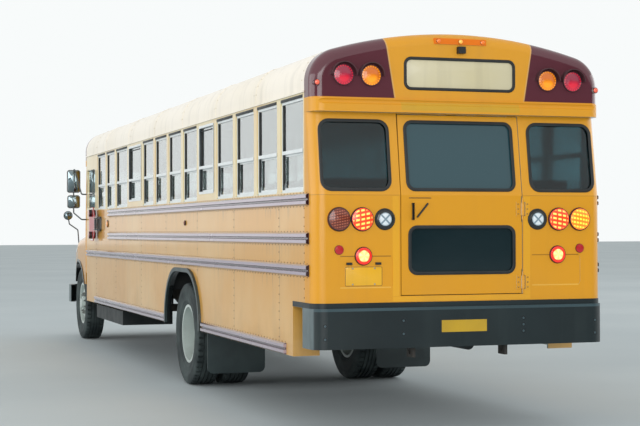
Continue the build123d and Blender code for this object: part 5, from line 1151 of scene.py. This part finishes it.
# %% Rivets over the roof
BOWS = [0.240] + [0.8923 + 0.6985 * number for number in (1, 3, 5, 7, 9)] + [9.62]
ROOF_MIDDLE = 1.7
ROOF_STEPS = 33
ROOF_STEP = 2.35
RAY_RADIUS = 4
roof_copy = bmesh.new()
roof_copy.from_mesh(NODES["roof"].data)
roof_skin = BVHTree.FromBMesh(roof_copy)
roof_copy.free()
places = []
for distance in [bow + row for bow in BOWS for row in (-0.030, 0.030)]:
    for step in range(-ROOF_STEPS, ROOF_STEPS + 1):
        turn = math.radians(step * ROOF_STEP)
        ray = Vector((0, math.sin(turn), math.cos(turn)))
        start = Vector((fore(distance), 0, ROOF_MIDDLE)) + ray * RAY_RADIUS
        spot, normal = roof_skin.ray_cast(start, -ray)[:2]
        if spot and spot.z > EAVES + 0.03 and normal.z > 0.02:
            places.append(facing(spot, normal, (1, 0, 0)))
stamped("roof_rivets", "coach", [(rivet, places)], "roof_rivet_paint")

# %% [markdown]
# ## Trim at the side windows
# A black strip along the top of each window, under the rain gutter, is painted shade: it stands for the
# shaded gap over the sash. A dark strip up the front edge of each window is painted shade of the jamb. The
# two push-out windows have their top strip set inside their raised frame instead.

# %% Window trim
WINDOW_FIRST = 0.243
WINDOW_WIDTH = 0.600
WINDOW_PILLAR = 0.0985
WINDOW_EXTRA = 0.166
WINDOWS = 13
WIDE = (9, 10)
PUSH_OUTS = (4, 9)
HEAD = 2.620
FOOT = 1.890
bm = bmesh.new()
for side in SIDES:
    skin = sorted(side * (HALF_WIDTH + depth) for depth in (-0.0075, 0.0025))
    deep = sorted(side * (HALF_WIDTH + depth) for depth in (-0.0225, -0.0105))
    start = WINDOW_FIRST
    for number in range(WINDOWS):
        end = start + WINDOW_WIDTH + (WINDOW_EXTRA if number in WIDE else 0)
        # Both strips are painted shade: dark pieces where the gap over the sash and the front jamb lie in
        # shade.
        if number in PUSH_OUTS:
            strip = (start + 0.030, end - 0.030, deep, HEAD - 0.055, HEAD - 0.047, 0.001)
        else:
            strip = (start + 0.010, end - 0.010, skin, HEAD - 0.004, HEAD + 0.018, 0.0015)
        shaded_jamb = (end - 0.046, end - 0.026, deep, FOOT + 0.070, HEAD - 0.030, 0.001)
        for rear, front, (low_y, high_y), low_z, high_z, edge in (strip, shaded_jamb):
            block(bm, (fore(rear), low_y, low_z), (fore(front), high_y, high_z), edge)
        start = end + WINDOW_PILLAR
piece("window_shade_strips", bm, "coach", "gasket_rubber")
print("side windows a side:", WINDOWS)

# %% [markdown]
# ## Tyres
# A truck tyre is a bulging ring: bead, sidewall with two raised ribs, shoulder and a crown with four grooves
# round it. The section is spun about the axle. Every third step of the two outer ribs is then pushed inward,
# so that the shoulder breaks into blocks. The tread's outside keeps the CAD tyre's radius and width.

# %% Tyres
TREAD_STEPS = 150
GROOVE = 0.011
# Radius and distance from the tyre's middle plane
HALF_TYRE = [(0.288, 0.094), (0.296, 0.106), (0.318, 0.118), (0.340, 0.1245), (0.344, 0.1275),
             (0.352, 0.1280), (0.356, 0.1265), (0.395, 0.1350), (0.430, 0.1385), (0.434, 0.1394),
             (0.446, 0.1392), (0.450, 0.1378), (0.480, 0.1350), (0.500, 0.1300), (0.515, 0.1225),
             (0.5215, 0.1130), (0.5242, 0.0950), (0.5246, 0.0720), (0.5246 - GROOVE, 0.0700),
             (0.5246 - GROOVE, 0.0600), (0.5248, 0.0580), (0.5250, 0.0270), (0.5250 - GROOVE, 0.0250),
             (0.5250 - GROOVE, 0.0160), (0.5250, 0.0140)]
LINER = [(0.490, 0.092), (0.478, 0.112), (0.440, 0.1240), (0.380, 0.1200), (0.320, 0.1020), (0.296, 0.084)]
SHOULDER_RADIUS = 0.5150
SHOULDER = (0.0730, 0.1200)


def tyre_shape():
    """Spins half the outside, its mirror image and the liner, and presses gaps between shoulder blocks."""
    outer = [(radius, -across) for radius, across in HALF_TYRE]
    back = [(radius, -across) for radius, across in LINER]
    bm = lathe(outer + HALF_TYRE[::-1] + LINER[::-1] + back + outer[:1], TREAD_STEPS)
    gaps = []
    for face in bm.faces:
        middle = face.calc_center_median()
        number = int(((math.atan2(middle.y, middle.x) / math.tau) % 1.0) * TREAD_STEPS)
        shift = 1 if middle.z > 0 else 0
        on_shoulder = math.hypot(middle.x, middle.y) > SHOULDER_RADIUS
        if on_shoulder and SHOULDER[0] < abs(middle.z) < SHOULDER[1] and (number + shift) % 3 == 0:
            gaps.append(face)
    bmesh.ops.inset_individual(bm, faces=gaps, thickness=0.0022, depth=-0.009)
    return bm


tyre_stamp = as_stamp(tyre_shape())
SINGLE = (1.020,)
TWINS = (0.708, 1.030)
WHEEL_SETS = (
    # name, node it replaces, body, axle, planes of the tyres, plane of the nuts, side
    ("front_left_tread", "front_left_tyre", "front_left_wheel", FRONT_AXLE, SINGLE, 1.102, 1),
    ("front_right_tread", "front_right_tyre", "front_right_wheel", FRONT_AXLE, SINGLE, 1.102, -1),
    ("rear_left_treads", "rear_left_tyres", "rear_left_wheels", REAR_AXLE, TWINS, 0.892, 1),
    ("rear_right_treads", "rear_right_tyres", "rear_right_wheels", REAR_AXLE, TWINS, 0.892, -1),
)


def on_axle(distance, side, plane):
    return facing((fore(distance), side * plane, AXLE_HEIGHT), (0, side, 0))


for name, node_name, body, distance, planes, seat, side in WHEEL_SETS:
    places = [on_axle(distance, side, plane) for plane in planes]
    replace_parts(stamped(name, body, [(tyre_stamp, places)], "tyre_rubber"), node_name)

# %% [markdown]
# ## Wheel nuts and valves
# Ten nuts hold each wheel. A nut is a six-sided cone with its top edge bevelled, on a washer. The rear pair
# is deeply dished, so its nuts sit far in.

# %% Wheel nuts
NUT_RING = 0.143
NUTS = 10
VALVE_RING = 0.184
bm = bmesh.new()
cone(bm, 6, 0.0165, 0.0165, 0.024, Matrix.Translation((0, 0, 0.012)))
round_edges(bm, [e for e in bm.edges if all(vert.co.z > 0.02 for vert in e.verts)], 0.003)
cone(bm, 20, 0.021, 0.020, 0.004, Matrix.Translation((0, 0, 0.002)))
cone(bm, 10, 0.009, 0.008, 0.016, Matrix.Translation((0, 0, 0.030)))
nut = as_stamp(bm)
bm = bmesh.new()
bar_between(bm, (0, 0, 0), (0.004, 0, 0.030), 0.006)
bar_between(bm, (0.004, 0, 0.028), (0.006, 0, 0.052), 0.0042)
valve = as_stamp(bm, slot=1)


def on_ring(turn, radius):
    return Matrix.Rotation(turn, 4, "Z") @ Matrix.Translation((radius, 0, 0))


for name, node_name, body, distance, planes, seat, side in WHEEL_SETS:
    place = on_axle(distance, side, seat)
    turns = [math.tau * (number + 0.5) / NUTS for number in range(NUTS)]
    nut_places = [place @ on_ring(turn, NUT_RING) for turn in turns]
    valve_places = [place @ on_ring(0.2, VALVE_RING)]
    stamped(body + "_nuts", body, [(nut, nut_places), (valve, valve_places)], "rusty_steel", "gasket_rubber")

# %% [markdown]
# ## Door fittings
# The emergency door's hinges have round bolt heads on the frame and on the door. A thin drip rail runs above
# the handle, and a slanting bar is the handle's pointer.

# %% Door fittings
HINGE_Y = -0.516
HINGE_FACE = fore(-0.004)
BOLT_HEIGHTS = [height + lift for height in (1.180, 1.755) for lift in (-0.038, 0.0, 0.038)]
head = as_stamp(lathe([(0.0075, 0.0), (0.0072, 0.0020), (0.0045, 0.0036), (0.0, 0.0042)], 12))
for name, y, body in (("frame", HINGE_Y - 0.040, "coach"), ("door", HINGE_Y + 0.040, "rear_door")):
    places = [facing((HINGE_FACE, y, height), REAR) for height in BOLT_HEIGHTS]
    stamped("hinge_bolts_on_" + name, body, [(head, places)], "hinge_paint")
bm = bmesh.new()
block(bm, (fore(-0.004), 0.262, 1.836), (fore(0.0005), 0.446, 1.841), 0.001)
bar_between(bm, (fore(-0.006), 0.380, 1.690), (fore(-0.006), 0.290, 1.797), 0.0075)
piece("door_fittings", bm, "rear_door", "gasket_rubber")

# %% [markdown]
# ## Mirrors and wipers
# Mirror glass is a thin plate on the back of each head, a little smaller than its housing. The crossing
# mirrors on the bonnet are domes, because they have to show a wide field. The wipers hang from above the
# windscreen.

# %% Mirrors
MIRROR_HEADS = ((2.315, 0.190, 0.330), (2.020, 0.180, 0.190))
MIRROR_PLACE = (fore(10.788), 1.355)
MIRROR_GAP = 0.024
CROSSING_PLACE = (fore(11.983), 1.258, 1.834)
CROSSING_DOME = [(0.061, 0.0), (0.061, 0.002), (0.050, 0.008), (0.035, 0.012), (0.018, 0.0145), (0.0, 0.0152)]
rows = []
for height, wide, tall in MIRROR_HEADS:
    shape = as_stamp(rounded_panel(wide - MIRROR_GAP, tall - MIRROR_GAP, 0.026, 0.0022, edge=0.0008))
    x, y = MIRROR_PLACE
    rows.append((shape, [facing(place, REAR) for place in both_sides(x, (y, height))]))
stamped("mirror_glasses", "coach", rows, "mirror_glass")
places = [facing(place, REAR) for place in both_sides(CROSSING_PLACE[0], CROSSING_PLACE[1:])]
stamped("crossing_mirror_glasses", "bonnet", [(as_stamp(lathe(CROSSING_DOME, 32)), places)], "mirror_glass")

# %% Wipers
WIPER_BARS = (
    # start and end, each across, up and out of the glass, then radius and faces
    ((0.640, 2.492, 0.0), (0.640, 2.492, 0.030), 0.014, 20),
    ((0.640, 2.492, 0.010), (0.600, 2.300, 0.034), 0.0055, 12),
    ((0.600, 2.300, 0.034), (0.470, 2.050, 0.026), 0.0045, 12),
    ((0.585, 2.285, 0.016), (0.355, 1.820, 0.016), 0.0065, 8),
    ((0.585, 2.285, 0.010), (0.355, 1.820, 0.010), 0.0035, 8),
)
bm = bmesh.new()
for side in SIDES:
    for start, end, radius, faces in WIPER_BARS:
        ends = [on_front(side * y, z) + FRONT_OUT * off for y, z, off in (start, end)]
        bar_between(bm, *ends, radius, faces)
piece("wipers", bm, "coach", "gasket_rubber")

# %% [markdown]
# ## Lamps of the stop arm and rims of the headlamps
# A red lens stands over and under the middle of the stop sign, on both faces. A bright pressed rim holds each
# headlamp in its corner of the nose.

# %% Stop arm lamps and headlamp rims
LAMP_HALF = 0.045
ARM_LENS = [(0.044, 0.0), (0.044, 0.0015), (0.033, 0.0030), (0.018, 0.0040), (0.0, 0.0043)]
places = []
for x, height in ARM_LAMPS:
    places += [facing((x, BLADE_PLANE + out * LAMP_HALF, height), (0, out, 0)) for out in SIDES]
stamped("stop_arm_lenses", "stop_sign", [(as_stamp(lathe(ARM_LENS, 32)), places)], "arm_lamp_red")

RIM_SIZE = (0.246, 0.186)
RIM_FACE = fore(12.1605)
rim = as_stamp(rounded_panel(*RIM_SIZE, 0.030, 0.0045, band=0.016, edge=0.0015))
places = [facing(place, -REAR) for place in both_sides(RIM_FACE, HEADLAMP)]
stamped("headlamp_rims", "bonnet", [(rim, places)], "bright_steel")

# %% [markdown]
# ## Seats
# A school bus bench is foam under stretched vinyl. Foam swells between its seams, so a pad is a cube that is
# subdivided, crowned on its broad faces and pulled in along its edges. Every bench has a cushion and a
# high leaning back, and stands on steel legs near the aisle. These pads stand for the CAD's plain seats.

# %% Seats
FLOOR_TOP = 1.070
SEAT_BASE = 1.400
BACK_MIDDLE = 1.735
FIRST_SEAT = 0.560
SEAT_PITCH = 0.710
SEAT_ROWS = 12
AISLE_HALF = 0.150
BENCH_END = 1.172
LEG_Y = 0.210
DRIVER = (fore(9.560), 0.290, 0.750, 0.520)
CROWN = 0.20
CUSHION = (0.375, 0.108)
BACK = (0.550, 0.098)
SEAT_TILT = Matrix.Rotation(-0.03, 4, "Y")
BACK_TILT = Matrix.Rotation(math.pi / 2 - math.atan2(0.102, 0.540), 4, "Y")
PAD_GAP = 0.012


def pad(length, width, thick):
    """A stuffed pad with its middle at the origin: length on X, width on Y, thickness on Z."""
    bm = bmesh.new()
    bmesh.ops.create_cube(bm, size=2)
    bmesh.ops.subdivide_edges(bm, edges=bm.edges[:], cuts=7, use_grid_fill=True)
    for vert in bm.verts:
        u, v, w = vert.co
        swell = (1 - u ** 4) * (1 - v ** 6)
        along_edge = (1 - 0.06 * w * w - 0.012 * (1 - v * v)) * (1 - 0.03 * v ** 8)
        end_edge = (1 - 0.022 * w * w - 0.006 * (1 - u * u)) * (1 - 0.008 * u ** 8)
        vert.co = Vector((u * along_edge * length / 2, v * end_edge * width / 2,
                          w * (1 - CROWN + CROWN * swell) * thick / 2))
    return bm


benches = []
for row in range(SEAT_ROWS):
    x = fore(FIRST_SEAT + row * SEAT_PITCH)
    benches += [(x, side * AISLE_HALF, side * BENCH_END, side * LEG_Y) for side in SIDES]
cushions = bmesh.new()
backs = bmesh.new()
legs = bmesh.new()
for x, near, far, leg in benches + [DRIVER]:
    width = abs(far - near) - PAD_GAP
    middle_y = (near + far) / 2
    seat_place = Matrix.Translation((x + 0.216, middle_y, SEAT_BASE + 0.060))
    stamp(cushions, as_stamp(pad(CUSHION[0], width, CUSHION[1])), seat_place @ SEAT_TILT)
    back_place = Matrix.Translation((x - 0.021, middle_y, BACK_MIDDLE))
    stamp(backs, as_stamp(pad(BACK[0], width, BACK[1])), back_place @ BACK_TILT)
    for foot in (0.075, 0.345):
        bar_between(legs, (x + foot, leg, FLOOR_TOP), (x + foot, leg, SEAT_BASE + 0.006), 0.0125)
    block(legs, (x + 0.060, leg - 0.019, FLOOR_TOP), (x + 0.360, leg + 0.019, FLOOR_TOP + 0.006), 0.001)
    inner, outer = min(near, far) + 0.02, max(near, far) - 0.02
    block(legs, (x + 0.040, inner, SEAT_BASE + 0.0005), (x + 0.380, outer, SEAT_BASE + 0.010), 0.002)
cushion_piece = piece("seat_cushions", cushions, "coach", "seat_vinyl")
back_piece = piece("seat_backs", backs, "coach", "seat_vinyl")
piece("seat_legs", legs, "coach", "dash_plastic")
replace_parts(back_piece, "seats")

# %% [markdown]
# ## Floor, sky and lamps
# A pale floor and an even, bright sky stand in for an overcast day. The world is brighter for what the camera
# sees directly, and in mirror-like and clear surfaces, than for what lights the bus, so the paint keeps its
# written colour. Four large soft lamps shape the light a little, from above, behind and each side. A dark
# band far behind the camera is seen only in reflections. It keeps the rear glass, paint and bumper deep.

# %% Floor and sky
FLOOR_SIDE = 320
HORIZON_SIZE = (14, 240)
HORIZON_PLACE = (-62, 0, 7)
LIT_BY_SKY = 0.73
SEEN_SKY = 1.0


def stage_sheet(name, matrix, roughness, scale, detail, limits, tones):
    """A flat sheet with a soft mottle between two tones."""
    shader, point = new_finish(name, Roughness=roughness, Specular_IOR_Level=0.1)
    mottle = point.noise(scale, detail).ramp(*limits)
    fill(shader, {"Base Color": layered(tones[0], (mottle, tones[1]))})
    bm = bmesh.new()
    bmesh.ops.create_grid(bm, x_segments=1, y_segments=1, size=0.5, matrix=matrix)
    return put_in_scene(name, bm, name)


stage_floor = stage_sheet("floor_stage", Matrix.Diagonal((FLOOR_SIDE, FLOOR_SIDE, 1, 1)), 0.8, 0.25, 3.0,
                          (0.3, 0.7), ("#BCC5C8", "#C6CED0"))
skyline = Matrix.Translation(HORIZON_PLACE) @ Matrix.Rotation(math.pi / 2, 4, "Y")
skyline = skyline @ Matrix.Diagonal((*HORIZON_SIZE, 1, 1))
dark_horizon = stage_sheet("dark_horizon", skyline, 0.9, 0.4, 4.0, (0.35, 0.65), ("#1C2C2C", "#31433F"))
dark_horizon.visible_camera = False
dark_horizon.visible_diffuse = False
dark_horizon.visible_transmission = False
dark_horizon.visible_shadow = False

bpy.context.scene.view_settings.view_transform = "Standard"
world = bpy.data.worlds.new("overcast")
bpy.context.scene.world = world
world.use_nodes = True
path = numbers(node(world.node_tree, "LightPath").outputs)
seen = path["Is Camera Ray"] | path["Is Glossy Ray"] | path["Is Transmission Ray"]
strength = seen.ramp(0.0, 1.0, LIT_BY_SKY, SEEN_SKY)
fill(world.node_tree.nodes["Background"], {"Color": "#F8FBFB", "Strength": strength})

# %% Lamps
LAMPS = (
    # name, place, where it points, size, watts
    ("sky_panel", (0, 0, 11), (0, 0, 0), (22, 12), 80),
    ("rear_panel", (-24, 6, 5), (-6, 0, 1.2), (14, 8), 1450),
    ("left_panel", (-1, 32, 8), (0, 1, 1.2), (40, 12), 3400),
    ("right_panel", (-1, -32, 8), (0, -1, 1.2), (40, 12), 2200),
)
for name, place, aim, size, watts in LAMPS:
    lamp = bpy.data.lights.new(name, "AREA")
    lamp.shape = "RECTANGLE"
    lamp.size, lamp.size_y = size
    lamp.energy = watts
    holder = bpy.data.objects.new(name, lamp)
    holder.location = place
    holder.rotation_euler = (Vector(aim) - Vector(place)).to_track_quat("-Z", "Y").to_euler()
    bpy.context.scene.collection.objects.link(holder)
print("soft lamps:", len(LAMPS))
